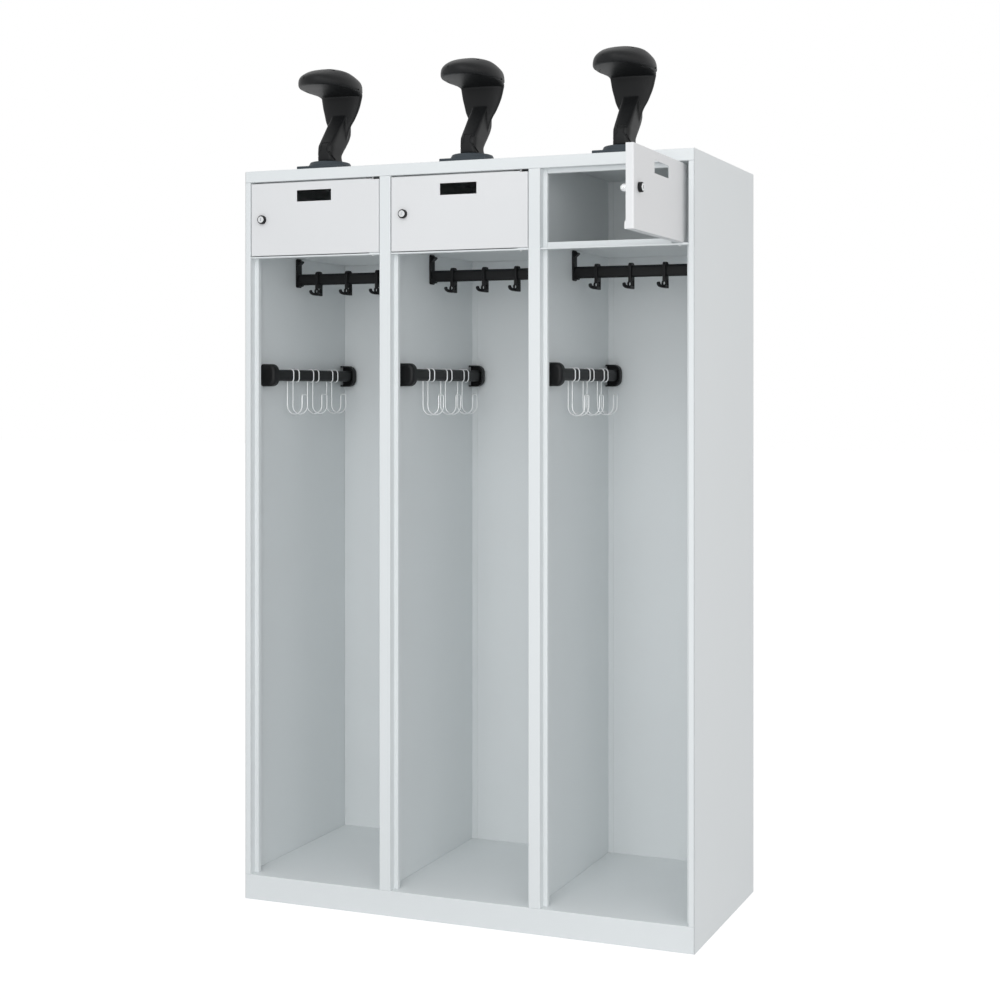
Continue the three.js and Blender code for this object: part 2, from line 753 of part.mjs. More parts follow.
// Wire hook: one wire bent double. Each half starts under the bar, wraps over its outer side
// and its top, hangs down by the wall and turns up in a J, and a bridge joins the two tips.
function wireHook() {
  const clear = wireGap + wireDiameter / 2;
  const side = barWidth / 2 + clear;
  const top = barHeight / 2 + clear;
  const bowlRadius = wireBowl / 2;
  const half = (y) => [
    { at: new THREE.Vector3(side, y, -top), radius: side, steps: 3 },
    { at: new THREE.Vector3(side, y, top), radius: side, steps: 3 },
    { at: new THREE.Vector3(-side, y, top), radius: side, steps: 3 },
    { at: new THREE.Vector3(-side, y, -wireDrop), radius: bowlRadius, steps: 3 },
    { at: new THREE.Vector3(wireBowl - side, y, -wireDrop), radius: bowlRadius, steps: 3 },
    { at: new THREE.Vector3(wireBowl - side, y, -wireTipDrop), radius: wireTipFold, steps: 2 },
  ];
  const near = -wireSpacing / 2;
  const far = wireSpacing / 2;
  const start = new THREE.Vector3(0, near, -top);
  const end = new THREE.Vector3(0, far, -top);
  const path = new BentWire(start, [...half(near), ...half(far).reverse()], end);
  const section = new THREE.Shape();
  section.absarc(0, 0, wireDiameter / 2, 0, 2 * Math.PI);
  const options = {
    extrudePath: path,
    steps: path.stations.length - 1,
    curveSegments: wireSides / 2,
  };
  return solid(new THREE.ExtrudeGeometry(section, options));
}

// Helmet holder's foot: a square plate with chamfered top edges under a low dome
function holderFoot() {
  const ring = (inset, z) => {
    const side = plateSide - 2 * inset;
    const outline = roundedPlate(side, side, 2 * plateChamfer - inset).getPoints(2);
    return outline.map(({ x, y }) => new THREE.Vector3(x, y, z));
  };
  const plate = loft([ring(0, 0), ring(0, plateHeight - plateChamfer), ring(plateChamfer, plateHeight)]);
  plate.translate(0, plateSetback + plateSide / 2 - postSetback, seat);
  const domeShares = [[1, 0.25], [0.93, 0.6], [0.86, 0.85]];
  const fullness = domeRadius - domeTopRadius;
  const profile = [
    [0, 0],
    [domeRadius, 0],
    ...domeShares.map(([out, up]) => [domeTopRadius + fullness * (2 * out - 1), domeHeight * up]),
    [domeTopRadius, domeHeight],
    [0, domeHeight],
  ];
  const dome = turned(profile, domeSteps);
  dome.rotateX(Math.PI / 2);
  dome.translate(0, 0, seat + plateHeight - plateChamfer);
  return join([solid(plate), solid(dome)]);
}

// The post is two skins over level rings, joined: a square stem that leans back from its knee,
// and a thin blade that starts on the stem's sides, spreads upward and ends in the head. Each
// row is a ring: the shares of its part's height, lean, width and depth, and its squareness,
// which is the exponent of its outline. An ellipse has 2, and more is squarer.
const stemShares = [
  [0, 0.02, 0.38, 0.84, 9],
  [0.1, -0.035, 0.36, 0.825, 9],
  [0.19, 0.08, 0.375, 0.96, 9],
  [0.255, 0.22, 0.37, 1, 9],
  [0.435, 0.625, 0.37, 0.94, 9],
  [0.565, 0.785, 0.37, 0.7, 9],
  [0.64, 0.85, 0.36, 0.48, 9],
  [0.77, 0.97, 0.34, 0.2, 9],
];

const bladeShares = [
  [0.34, 0.74, 0.37, 0.24, 3],
  [0.495, 0.78, 0.49, 0.245, 2.8],
  [0.565, 0.8, 0.58, 0.25, 2.6],
  [0.64, 0.85, 0.7, 0.26, 2.5],
  [0.74, 0.925, 0.805, 0.32, 2.5],
  [0.84, 0.97, 0.9, 0.375, 2.5],
  [1, 1.01, 1, 0.455, 2.4],
];

// The head's shares of lean are the neck's. It reaches further forward than back from the
// blade, its under side is nearly flat and it is widest low down.
const headShares = [
  [0.065, 0.8, 0.82, 0.45, 2.2],
  [0.135, 0.13, 0.975, 0.925, 2],
  [0.195, 0.04, 1, 0.965, 2],
  [0.425, 0.03, 0.965, 1, 2],
  [0.59, 0.04, 0.9, 0.925, 2],
  [0.805, -0.09, 0.74, 0.575, 2],
  [0.9, -0.13, 0.55, 0.36, 2],
  [1, -0.12, 0.2, 0.1, 2],
];

function postRing([up, lean, width, depth, squareness], foot, tall, wide, deep) {
  const bulge = (value) => Math.sign(value) * Math.abs(value) ** (2 / squareness);
  return Array.from({ length: neckSteps }, (_, i) => {
    const turn = (2 * Math.PI * i) / neckSteps;
    const x = (wide / 2) * width * bulge(Math.cos(turn));
    const y = neckLean * lean + (deep / 2) * depth * bulge(Math.sin(turn));
    return new THREE.Vector3(x, y, foot + tall * up);
  });
}

function holderPost() {
  const foot = seat + plateHeight - plateChamfer + domeHeight + seat;
  const headFoot = foot + neckHeight;
  const neckRing = (row) => postRing(row, foot, neckHeight, neckWidth, neckDepth);
  const headRing = (row) => postRing(row, headFoot, headHeight, headWidth, headDepth);
  const stem = solid(loft(stemShares.map(neckRing)));
  const bladeAndHead = solid(loft([...bladeShares.map(neckRing), ...headShares.map(headRing)]));
  const [slotX, slotY, slotZ] = crownSlot;
  const crown = headFoot + headHeight;
  const slotBack = slotY / 2 - crownSlotLead;
  const slotHeights = [crown - slotZ, crown + overrun];
  const slot = block([-slotX / 2, slotX / 2], [slotBack - slotY, slotBack], slotHeights);
  return cut(join([stem, bladeAndHead]), [slot]);
}

// Places of a row of copies about a middle
function spread(count, pitch, middle) {
  return Array.from({ length: count }, (_, i) => middle + (i - (count - 1) / 2) * pitch);
}

const locker = new THREE.Group();
locker.add(
  part('side_panel_left', sidePanel('left'), paint),
  part('side_panel_right', sidePanel('right'), paint),
  part('roof', roof(), paint),
  part('floor_and_plinth', floorAndPlinth(), paint),
  part('back_panel', backPanel(), paint),
);
for (const bay of bays.slice(0, -1)) {
  locker.add(part(`partition_${bay.number}`, partition(bay), paint));
}

const doorBody = door();
const lockCaseBody = lockCase();
const lockCoreBody = lockCore();
const bracketBody = railBracket();
const coatHookBody = coatHook();
const sideBarBody = sideBar();
const wireHookBody = wireHook();
const holderFootBody = holderFoot();
const holderPostBody = holderPost();

for (const bay of bays) {
  const n = bay.number;
  const swing = new THREE.Group();
  swing.position.set(bay.pivot, pivotDepth, 0);
  swing.rotation.z = bay.openAngle;
  swing.add(
    part(`door_${n}`, doorBody, doorPaint),
    part(`lock_case_${n}`, lockCaseBody, blackPlastic),
    part(`lock_core_${n}`, lockCoreBody, chrome, [lockX, 0, lockZ]),
  );
  const leftSeat = [bay.wallLeft + seat, railSetback, railAxis];
  const rightSeat = [bay.wallRight - seat, railSetback, railAxis];
  const rightBracket = part(`rail_bracket_right_${n}`, bracketBody, blackPlastic, rightSeat);
  rightBracket.rotation.z = Math.PI;
  const barPlace = [bay.wallLeft + barFromWall, 0, barAxis];
  const post = [bay.middle, postSetback, caseHeight];
  locker.add(
    swing,
    part(`shelf_${n}`, shelf(bay), paint),
    part(`coat_rail_${n}`, coatRail(bay), blackPlastic),
    part(`rail_bracket_left_${n}`, bracketBody, blackPlastic, leftSeat),
    rightBracket,
    part(`side_bar_${n}`, sideBarBody, blackPlastic, barPlace),
    part(`holder_foot_${n}`, holderFootBody, slatePlastic, post),
    part(`holder_post_${n}`, holderPostBody, blackPlastic, post),
  );
  spread(coatHookCount, coatHookPitch, bay.middle).forEach((x, i) => {
    locker.add(part(`coat_hook_${n}_${i + 1}`, coatHookBody, blackPlastic, [x, railSetback, railAxis]));
  });
  spread(wireHookCount, wireHookPitch, wireHookMiddle).forEach((y, i) => {
    locker.add(part(`wire_hook_${n}_${i + 1}`, wireHookBody, chrome, [barPlace[0], y, barAxis]));
  });
}

export default locker;
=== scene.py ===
"""Looks of a fire station's gear locker: finishes, fine forms, studio light and camera.

The case is folded from sheet steel and powder coated. Its fittings are moulded plastic, plated
steel and bent wire. Sizes are written in millimetres and turned to metres where meshes are made.
Lamps and camera stand at places in metres.
"""

import json
import logging
import math
from collections.abc import Callable, Iterable, Sequence
from dataclasses import dataclass
from enum import Enum

import bmesh
import bpy
from mathutils import Matrix, Vector
from mathutils.bvhtree import BVHTree

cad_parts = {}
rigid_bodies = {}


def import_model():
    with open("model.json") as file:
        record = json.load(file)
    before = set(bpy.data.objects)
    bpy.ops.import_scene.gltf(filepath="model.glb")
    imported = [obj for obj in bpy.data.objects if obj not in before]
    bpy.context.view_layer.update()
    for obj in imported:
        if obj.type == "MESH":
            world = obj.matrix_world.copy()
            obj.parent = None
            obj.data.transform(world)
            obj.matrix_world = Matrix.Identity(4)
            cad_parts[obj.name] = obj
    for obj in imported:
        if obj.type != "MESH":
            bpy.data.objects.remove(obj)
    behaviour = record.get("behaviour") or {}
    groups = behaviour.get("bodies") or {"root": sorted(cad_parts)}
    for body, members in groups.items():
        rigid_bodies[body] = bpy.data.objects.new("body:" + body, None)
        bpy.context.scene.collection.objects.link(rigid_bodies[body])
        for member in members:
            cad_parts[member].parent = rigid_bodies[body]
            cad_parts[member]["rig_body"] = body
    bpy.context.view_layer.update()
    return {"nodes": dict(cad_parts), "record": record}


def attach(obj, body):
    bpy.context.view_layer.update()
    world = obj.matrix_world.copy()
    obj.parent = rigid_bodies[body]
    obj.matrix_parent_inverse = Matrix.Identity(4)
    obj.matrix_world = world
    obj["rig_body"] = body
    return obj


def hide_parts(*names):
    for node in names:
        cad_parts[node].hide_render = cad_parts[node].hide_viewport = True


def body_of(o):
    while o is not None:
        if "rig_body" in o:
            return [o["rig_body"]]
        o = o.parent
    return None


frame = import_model()

log = logging.getLogger("gear_locker")

MM = 0.001
WHITE = "#ffffff"

# How near two points are that become one: in every new mesh, and wider before edges are rounded.
WELD = 0.001 * MM
MERGE = 0.01 * MM
# Degrees between two faces. Less than the first is flat, and more than the second is an edge.
FLAT_ANGLE = 0.5
EDGE_ANGLE = 38.0
# Steps of a short arc, and steps across a rounded edge that shows.
ARC_STEPS = 8
SHOWN_STEPS = 3
# Where along an edge the face beside it is probed, as shares of the edge's length. How many times
# a probe's lift off that face goes into its reach.
RIM_PROBES = (0.3, 0.5)
RIM_LIFTS = 10

Point = tuple[float, float, float]
Span = tuple[float, float]
Outline = list[tuple[float, float]]
Row = tuple[float, ...]
Groove = tuple[float, tuple[Point, ...]]


class Slot(Enum):
    """The record's material slots, which say what a piece is made of."""

    CASE_PAINT = "case_paint"
    DOOR_PAINT = "door_paint"
    BLACK_PLASTIC = "black_plastic"
    SLATE_PLASTIC = "slate_plastic"
    LOCK_CHROME = "lock_chrome"
    HOOK_WIRE = "hook_wire"


class Axis(Enum):
    """The way that a section runs. It is drawn in the two axes that follow in turn."""

    X = 0
    Y = 1
    Z = 2


def linear(colour: str) -> tuple[float, float, float, float]:
    """Turns an sRGB hex colour to linear light.

    Args:
        colour: The colour as "#rrggbb".

    Returns:
        Red, green and blue from 0 to 1, and 1 for alpha.
    """
    channels = [int(colour[i : i + 2], 16) / 255 for i in (1, 3, 5)]
    light = [c / 12.92 if c <= 0.04045 else ((c + 0.055) / 1.055) ** 2.4 for c in channels]
    return (*light, 1.0)


def add(tree: bpy.types.NodeTree, kind: str, inputs: dict | None = None, **settings) -> bpy.types.Node:
    """Adds a node with its settings, values and links.

    Args:
        tree: The node tree.
        kind: The node's type name.
        inputs: For each input, by name or number, a value or the socket that feeds it.
        **settings: The node's own properties.

    Returns:
        The new node.
    """
    node = tree.nodes.new(kind)
    for name, value in settings.items():
        setattr(node, name, value)
    for name, value in (inputs or {}).items():
        if isinstance(value, bpy.types.NodeSocket):
            tree.links.new(value, node.inputs[name])
        else:
            node.inputs[name].default_value = value
    return node


def empty_tree(owner: bpy.types.Material | bpy.types.World) -> bpy.types.NodeTree:
    """Clears the nodes that a new material or world comes with.

    Args:
        owner: The material or world.

    Returns:
        Its node tree.
    """
    owner.use_nodes = True
    owner.node_tree.nodes.clear()
    return owner.node_tree


def put(name: str, data: bpy.types.ID) -> bpy.types.Object:
    """Puts a new object into the scene.

    Args:
        name: The object's name.
        data: Its mesh, camera or lamp.

    Returns:
        The object.
    """
    piece = bpy.data.objects.new(name, data)
    bpy.context.scene.collection.objects.link(piece)
    return piece


@dataclass(frozen=True)
class Finish:
    """A material of one colour family with a fine relief, such as a paint film or a moulding.

    Attributes:
        name: The material's name.
        slot: The record's slot that it stands for.
        light: The lighter colour that slow changes reach.
        dark: The darker colour that slow changes reach.
        patch: Millimetres from one slow change of colour to the next.
        roughness: The least and the most roughness.
        grain: Millimetres from one grain of the relief to the next.
        relief: Height of the relief in millimetres.
        metallic: 1 for bare or plated metal.
        specular: Strength of the plain reflection.
    """

    name: str
    slot: Slot
    light: str
    dark: str
    patch: float
    roughness: Span
    grain: float
    relief: float
    metallic: float = 0.0
    specular: float = 0.5

    def material(self) -> bpy.types.Material:
        """Builds the node material, or finds the one that was built before.

        Returns:
            The material.
        """
        found = bpy.data.materials.get(self.name)
        if found:
            return found
        material = bpy.data.materials.new(self.name)
        tree = empty_tree(material)
        place = add(tree, "ShaderNodeTexCoord").outputs["Object"]
        slow = {"Vector": place, "Scale": 1 / (self.patch * MM), "Detail": 3.0}
        patches = add(tree, "ShaderNodeTexNoise", slow).outputs["Fac"]
        colours = {"Factor": patches, 6: linear(self.dark), 7: linear(self.light)}
        colour = add(tree, "ShaderNodeMix", colours, data_type="RGBA").outputs[2]
        fine = {"Vector": place, "Scale": 1 / (self.grain * MM), "Detail": 2.0, "Roughness": 0.6}
        grains = add(tree, "ShaderNodeTexNoise", fine).outputs["Fac"]
        spread = {"Value": patches, "To Min": self.roughness[0], "To Max": self.roughness[1]}
        roughness = add(tree, "ShaderNodeMapRange", spread).outputs["Result"]
        film = {"Height": grains, "Distance": self.relief * MM, "Strength": 1.0}
        bump = add(tree, "ShaderNodeBump", film).outputs["Normal"]
        shader = add(tree, "ShaderNodeBsdfPrincipled", {
            "Base Color": colour,
            "Roughness": roughness,
            "Metallic": self.metallic,
            "Specular IOR Level": self.specular,
            "Normal": bump,
        })
        add(tree, "ShaderNodeOutputMaterial", {"Surface": shader.outputs["BSDF"]})
        return material


# Polyester powder coat, light grey, baked on steel: satin, with the faint orange peel that a
# sprayed powder leaves. The peel is 1 mm on the real film and is drawn at 3 mm, so that it shows.
CASE_PAINT = Finish("powder_coat_light_grey", Slot.CASE_PAINT, "#e9edee", "#e5e9ea", 260,
                    (0.42, 0.5), 3.0, 0.012)
DOOR_PAINT = Finish("powder_coat_light_grey_door", Slot.DOOR_PAINT, "#e7e8e9", "#e4e5e6", 220,
                    (0.4, 0.48), 3.0, 0.012)
# Glass-filled nylon, black, moulded in a spark-eroded tool: satin, with a fine even grain.
BLACK_NYLON = Finish("nylon_black_moulded", Slot.BLACK_PLASTIC, "#1d1e1f", "#171819", 60,
                     (0.4, 0.48), 1.6, 0.015, specular=0.2)
# Polypropylene, dark blue-grey, moulded: duller than the post, with a coarser grain.
SLATE_POLYPROPYLENE = Finish("polypropylene_slate_moulded", Slot.SLATE_PLASTIC, "#3c444a", "#343c42", 50,
                             (0.5, 0.6), 1.8, 0.02, specular=0.3)
# Die-cast zinc, satin chrome plated: bright, with a soft edge to what it mirrors.
SATIN_CHROME = Finish("zinc_satin_chrome", Slot.LOCK_CHROME, "#e3e5e6", "#d6d8da", 6,
                      (0.18, 0.28), 0.8, 0.002, metallic=1.0)
# Drawn steel wire, bright zinc plated: pale and even, only half a mirror.
ZINC_WIRE = Finish("steel_wire_bright_zinc", Slot.HOOK_WIRE, "#fbfcfc", "#f3f5f6", 12,
                   (0.25, 0.36), 0.9, 0.003, metallic=0.45)


@dataclass(frozen=True)
class Case:
    """Driving sizes of the case, in millimetres. The origin is its front bottom edge's middle.

    Attributes:
        width: From side to side.
        depth: From front to back.
        height: From the floor to the roof.
        bays: How many bays stand side by side.
        sheet: Thickness of the steel.
        seat: Gap between two pieces that rest on each other.
        overrun: How far a cutting solid runs past what it cuts.
        post_face: Width of one bay's share of a front post.
        fascia: Height of the roof's front.
        shelf_below_roof: From the case's top to the shelf's.
        apron: Height of the shelf's front.
        stop_back: From the front to the back of the door's stops.
    """

    width: float = 1200
    depth: float = 500
    height: float = 1850
    bays: int = 3
    sheet: float = 1
    seat: float = 0.3
    overrun: float = 5
    post_face: float = 15
    fascia: float = 28.5
    shelf_below_roof: float = 203
    apron: float = 17
    stop_back: float = 33

    @property
    def pitch(self) -> float:
        """From one bay's middle to the next."""
        return self.width / self.bays

    @property
    def shelf_top(self) -> float:
        """Height of the shelf's upper face."""
        return self.height - self.shelf_below_roof

    def middle(self, bay: int) -> float:
        """The middle of a bay, counted from 1 at the left."""
        return (bay - (self.bays + 1) / 2) * self.pitch

    def wall(self, bay: int, side: int) -> float:
        """The inner face of a bay's wall.

        Args:
            bay: The bay, counted from 1 at the left.
            side: -1 for its left wall and 1 for its right wall.

        Returns:
            The face's place across.
        """
        edge = self.middle(bay) + side * self.pitch / 2
        outer = bay == (1 if side < 0 else self.bays)
        return edge - side * (self.sheet if outer else self.sheet / 2)


CASE = Case()
BAYS = range(1, CASE.bays + 1)


def spaced(middle: float, pitch: float, count: int) -> list[float]:
    """Places in equal steps about a middle."""
    return [middle + (i - (count - 1) / 2) * pitch for i in range(count)]


def arc(u: float, v: float, radius: float, start: float, end: float, steps: int = 12) -> Outline:
    """Points of an arc, from one angle to another in degrees."""
    turns = [math.radians(start + (end - start) * step / steps) for step in range(steps + 1)]
    return [(u + radius * math.cos(turn), v + radius * math.sin(turn)) for turn in turns]


def quarter_round(radius: float, steps: int = 6) -> Outline:
    """How far in and how far up a rounded edge lies, from its foot to its full width."""
    turns = [math.radians(90 / steps * step) for step in range(steps + 1)]
    return [(radius * (1 - math.sin(turn)), radius * (1 - math.cos(turn))) for turn in turns]


def upright_oval(width: float, height: float) -> Outline:
    """A flat oval with its round ends above and below."""
    straight = height / 2 - width / 2
    return arc(0, straight, width / 2, 0, 180) + arc(0, -straight, width / 2, 180, 360)


def lying_oval(length: float, width: float) -> Outline:
    """A flat oval with its long way along u."""
    return [(v, -u) for u, v in upright_oval(width, length)]


def ellipse(middle: float, u: float, v: float, steps: int = 40) -> Outline:
    """An ellipse about a middle on u, from its two radii."""
    return [(middle + u * x, v * y) for x, y in arc(0, 0, 1, 0, 360, steps)[:-1]]


def quadratic(start: Span, pull: Span, end: Span, steps: int = 12) -> Outline:
    """Points of a curve from start to end that leans towards a third point."""
    shares = [step / steps for step in range(steps + 1)]
    return [tuple((1 - t) ** 2 * a + 2 * t * (1 - t) * b + t * t * c
                  for a, b, c in zip(start, pull, end)) for t in shares]


def rounded_plate(width: float, height: float, radius: float, steps: int = 6) -> Outline:
    """A rectangle with round corners.

    Args:
        width: Its size along u.
        height: Its size along v.
        radius: The corners' radius.
        steps: Steps of each corner.

    Returns:
        The outline.
    """
    u, v = width / 2 - radius, height / 2 - radius
    corners = ((u, v, 0), (-u, v, 90), (-u, -v, 180), (u, -v, 270))
    return [point for x, y, turn in corners for point in arc(x, y, radius, turn, turn + 90, steps)]


def smooth_rows(rows: Sequence[Row], steps: int) -> list[Row]:
    """Fills a table in with smooth curves through its rows.

    Args:
        rows: The rows, all of one length.
        steps: Steps from each row to the next.

    Returns:
        The finer table.
    """
    spans = [math.dist(a, b) for a, b in zip(rows, rows[1:])]
    places = [sum(spans[:i]) for i in range(len(rows))]
    slopes = []
    for i in range(len(rows)):
        before, after = max(i - 1, 0), min(i + 1, len(rows) - 1)
        run = places[after] - places[before]
        slopes.append([(b - a) / run for a, b in zip(rows[before], rows[after])])
    fine = []
    for i, span in enumerate(spans):
        for step in range(steps):
            t = step / steps
            shares = (2 * t**3 - 3 * t**2 + 1, (t**3 - 2 * t**2 + t) * span,
                      3 * t**2 - 2 * t**3, (t**3 - t**2) * span)
            columns = zip(rows[i], slopes[i], rows[i + 1], slopes[i + 1])
            fine.append(tuple(sum(s * c for s, c in zip(shares, column)) for column in columns))
    return fine + [tuple(rows[-1])]


def turn_to(axis: Axis, point: Point) -> Point:
    """Turns a point that is drawn as (u, v, along) so that its third value lies on an axis."""
    u, v, along = point
    return {Axis.X: (along, u, v), Axis.Y: (v, along, u), Axis.Z: (u, v, along)}[axis]


def place_at(x: float, y: float, z: float, turn: float = 0) -> Matrix:
    """A place in millimetres, with a turn about the upright in degrees."""
    return Matrix.Translation(Vector((x, y, z)) * MM) @ Matrix.Rotation(math.radians(turn), 4, "Z")


class Solid:
    """A closed mesh under construction, with the joins, cuts and soft edges that shape it."""

    def __init__(self, points: Iterable[Point], faces: Iterable[Sequence[int]],
                 edges: Iterable[tuple[int, int]] = ()) -> None:
        """Makes a mesh object.

        Args:
            points: Its points, in millimetres.
            faces: The points of each face, by number.
            edges: The points of each edge of a bare line, by number.
        """
        mesh = bpy.data.meshes.new("solid")
        mesh.from_pydata([Vector(point) * MM for point in points], list(edges), list(faces))
        self.piece = put("solid", mesh)
        if mesh.polygons:
            self.weld()

    @classmethod
    def loft(cls, rings: Sequence[Sequence[Point]]) -> "Solid":
        """A closed skin over rings.

        Args:
            rings: Rings of equally many points, from one end to the other.

        Returns:
            The solid.
        """
        count = len(rings[0])
        points = [point for ring in rings for point in ring]
        faces: list[Sequence[int]] = []
        for start in range(0, len(points) - count, count):
            for i in range(count):
                a, b = start + i, start + (i + 1) % count
                faces.append((a, b, b + count, a + count))
        faces.append(range(count))
        faces.append(range(len(points) - count, len(points)))
        return cls(points, faces)

    @classmethod
    def prism(cls, axis: Axis, outline: Outline, start: float, end: float) -> "Solid":
        """A section that runs along an axis. It is drawn in the two axes that follow in turn."""
        rings = [[turn_to(axis, (u, v, w)) for u, v in outline] for w in (start, end)]
        return cls.loft(rings)

    @classmethod
    def block(cls, x: Span, y: Span, z: Span) -> "Solid":
        """A cuboid between two values on each axis."""
        return cls.prism(Axis.Z, [(x[0], y[0]), (x[1], y[0]), (x[1], y[1]), (x[0], y[1])], *z)

    @classmethod
    def turned(cls, axis: Axis, profile: Outline, steps: int = 48) -> "Solid":
        """A turned solid.

        Args:
            axis: The axis that it turns about.
            profile: Its radius and place along the axis, from one end to the other.
            steps: Steps of the full turn.

        Returns:
            The solid.
        """
        rings = []
        for step in range(steps):
            u, v = math.cos(2 * math.pi * step / steps), math.sin(2 * math.pi * step / steps)
            rings.append([turn_to(axis, (radius * u, radius * v, w)) for radius, w in profile])
        count = len(profile)
        faces = []
        for ring in range(steps):
            a, b = ring * count, (ring + 1) % steps * count
            faces += [(a + i, b + i, b + i + 1, a + i + 1) for i in range(count - 1)]
        return cls([point for ring in rings for point in ring], faces)

    @classmethod
    def rod(cls, axis: Axis, radius: float, start: float, end: float) -> "Solid":
        """A round rod between two places on an axis."""
        return cls.turned(axis, [(0, start), (radius, start), (radius, end), (0, end)])

    @classmethod
    def copy_of(cls, node: str) -> "Solid":
        """A copy of a CAD node.

        Args:
            node: The node's name.

        Returns:
            The copy, in the node's place at rest.
        """
        source = frame["nodes"][node]
        solid = cls([], [])
        solid.piece.data = source.data.copy()
        solid.piece.data.transform(source.matrix_world)
        solid.weld()
        return solid

    def weld(self) -> None:
        """Merges points that coincide and turns every face outward."""
        work = bmesh.new()
        work.from_mesh(self.piece.data)
        bmesh.ops.remove_doubles(work, verts=work.verts, dist=WELD)
        bmesh.ops.dissolve_degenerate(work, dist=WELD, edges=work.edges)
        bmesh.ops.recalc_face_normals(work, faces=work.faces)
        work.to_mesh(self.piece.data)
        work.free()

    def modified(self, kind: str, **settings) -> "Solid":
        """Puts the mesh through one modifier and keeps the result.

        Args:
            kind: The modifier's type name.
            **settings: The modifier's own properties.

        Returns:
            The solid itself.
        """
        modifier = self.piece.modifiers.new("step", kind)
        for name, value in settings.items():
            setattr(modifier, name, value)
        return self.baked()

    def baked(self) -> "Solid":
        """Keeps what the modifiers make and takes them off.

        Returns:
            The solid itself.
        """
        graph = bpy.context.evaluated_depsgraph_get()
        mesh = bpy.data.meshes.new_from_object(self.piece.evaluated_get(graph))
        self.piece.modifiers.clear()
        self.piece.data = mesh
        return self

    def combined(self, operation: str, others: Iterable["Solid"]) -> "Solid":
        """Joins solids on, or cuts them away, and uses them up.

        Args:
            operation: The boolean modifier's name for what is done.
            others: The other solids.

        Returns:
            The solid itself.
        """
        for other in others:
            self.modified("BOOLEAN", object=other.piece, operation=operation, solver="EXACT")
            other.drop()
        return self

    def join(self, *others: "Solid") -> "Solid":
        """Joins other solids on."""
        return self.combined("UNION", others)

    def cut(self, *others: "Solid") -> "Solid":
        """Cuts other solids away."""
        return self.combined("DIFFERENCE", others)

    def moved(self, place: Matrix) -> "Solid":
        """Moves or turns the mesh."""
        self.piece.data.transform(place)
        return self

    def drop(self) -> None:
        """Deletes a solid that is used up."""
        bpy.data.objects.remove(self.piece)

    def merged_faces(self) -> bmesh.types.BMesh:
        """Merges flat neighbours into one face each.

        Returns:
            A working copy, which its user frees.
        """
        work = bmesh.new()
        work.from_mesh(self.piece.data)
        bmesh.ops.remove_doubles(work, verts=work.verts, dist=MERGE)
        flat = math.radians(FLAT_ANGLE)
        bmesh.ops.dissolve_limit(work, angle_limit=flat, verts=work.verts, edges=work.edges)
        return work

    def soften(self, width: float, segments: int = 2, angle: float = EDGE_ANGLE) -> "Solid":
        """Rounds every edge that is sharper than an angle.

        Args:
            width: Width of the rounding, in millimetres.
            segments: Steps across it.
            angle: The angle in degrees.

        Returns:
            The solid itself.
        """
        work = self.merged_faces()
        work.to_mesh(self.piece.data)
        work.free()
        return self.modified("BEVEL", width=width * MM, segments=segments, limit_method="ANGLE",
                             angle_limit=math.radians(angle), use_clamp_overlap=False)

    def fold(self, outer: float, inner: float, rim: float, reach: float) -> "Solid":
        """Rounds a folded sheet's edges: wide outside a fold, narrow inside it and least at its rims.

        Args:
            outer: Radius outside a fold, in millimetres.
            inner: Radius inside a fold.
            rim: Radius where the sheet is cut.
            reach: How wide a face that is only a rim may be, in thicknesses of the sheet.

        Returns:
            The solid itself.
        """
        work = self.merged_faces()
        weight = work.edges.layers.float.new("bevel_weight_edge")
        skin = BVHTree.FromBMesh(work)
        for edge in work.edges:
            angle = edge.calc_face_angle_signed(0)
            if abs(angle) < math.radians(EDGE_ANGLE):
                continue
            at_rim = any(is_rim(skin, corner, reach * CASE.sheet * MM) for corner in edge.link_loops)
            radius = inner if angle < 0 else rim if at_rim else outer
            edge[weight] = radius / outer
        work.to_mesh(self.piece.data)
        work.free()
        return self.modified("BEVEL", width=outer * MM, segments=SHOWN_STEPS, limit_method="WEIGHT",
                             use_clamp_overlap=False)

    def shaded(self, angle: float) -> "Solid":
        """Shades the mesh smooth, but for its sharper edges.

        Args:
            angle: The angle in degrees from which an edge stays sharp.

        Returns:
            The solid itself.
        """
        self.piece.data.shade_smooth()
        self.piece.data.set_sharp_from_angle(angle=math.radians(angle))
        return self

    def smooth(self, angle: float = 40) -> "Solid":
        """Shades the mesh smooth, but for edges sharper than an angle, with flat faces kept flat."""
        return self.shaded(angle).modified("WEIGHTED_NORMAL", keep_sharp=True, mode="FACE_AREA")

    def paint(self, first: Finish, second: Finish, is_second: Callable[[Vector], bool]) -> "Solid":
        """Gives the mesh two finishes.

        Args:
            first: The first finish.
            second: The second finish.
            is_second: Tells from a face's middle, in millimetres, whether it has the second one.

        Returns:
            The solid itself.
        """
        mesh = self.piece.data
        mesh.materials.clear()
        for finish in (first, second):
            mesh.materials.append(finish.material())
        for face in mesh.polygons:
            face.material_index = int(is_second(face.center / MM))
        return self

    def stand(self, node: str, finish: Finish, place: Matrix = Matrix()) -> None:
        """Sets a copy in its place, dresses it and lets it stand for a CAD node.

        Args:
            node: The CAD node that it replaces and whose body it rides on.
            finish: What it is made of. It dresses a mesh that has no two finishes yet.
            place: Where it stands, in metres.
        """
        mesh = self.piece.data.copy()
        mesh.name = node + "_fine"
        mesh.transform(place)
        if len(mesh.materials) < 2:
            mesh.materials.clear()
            mesh.materials.append(finish.material())
        piece = put(node + "_fine", mesh)
        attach(piece, body_of(frame["nodes"][node])[0])
        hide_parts(node)
        log.info("%s: %s, %d faces", piece.name, finish.name, len(mesh.polygons))


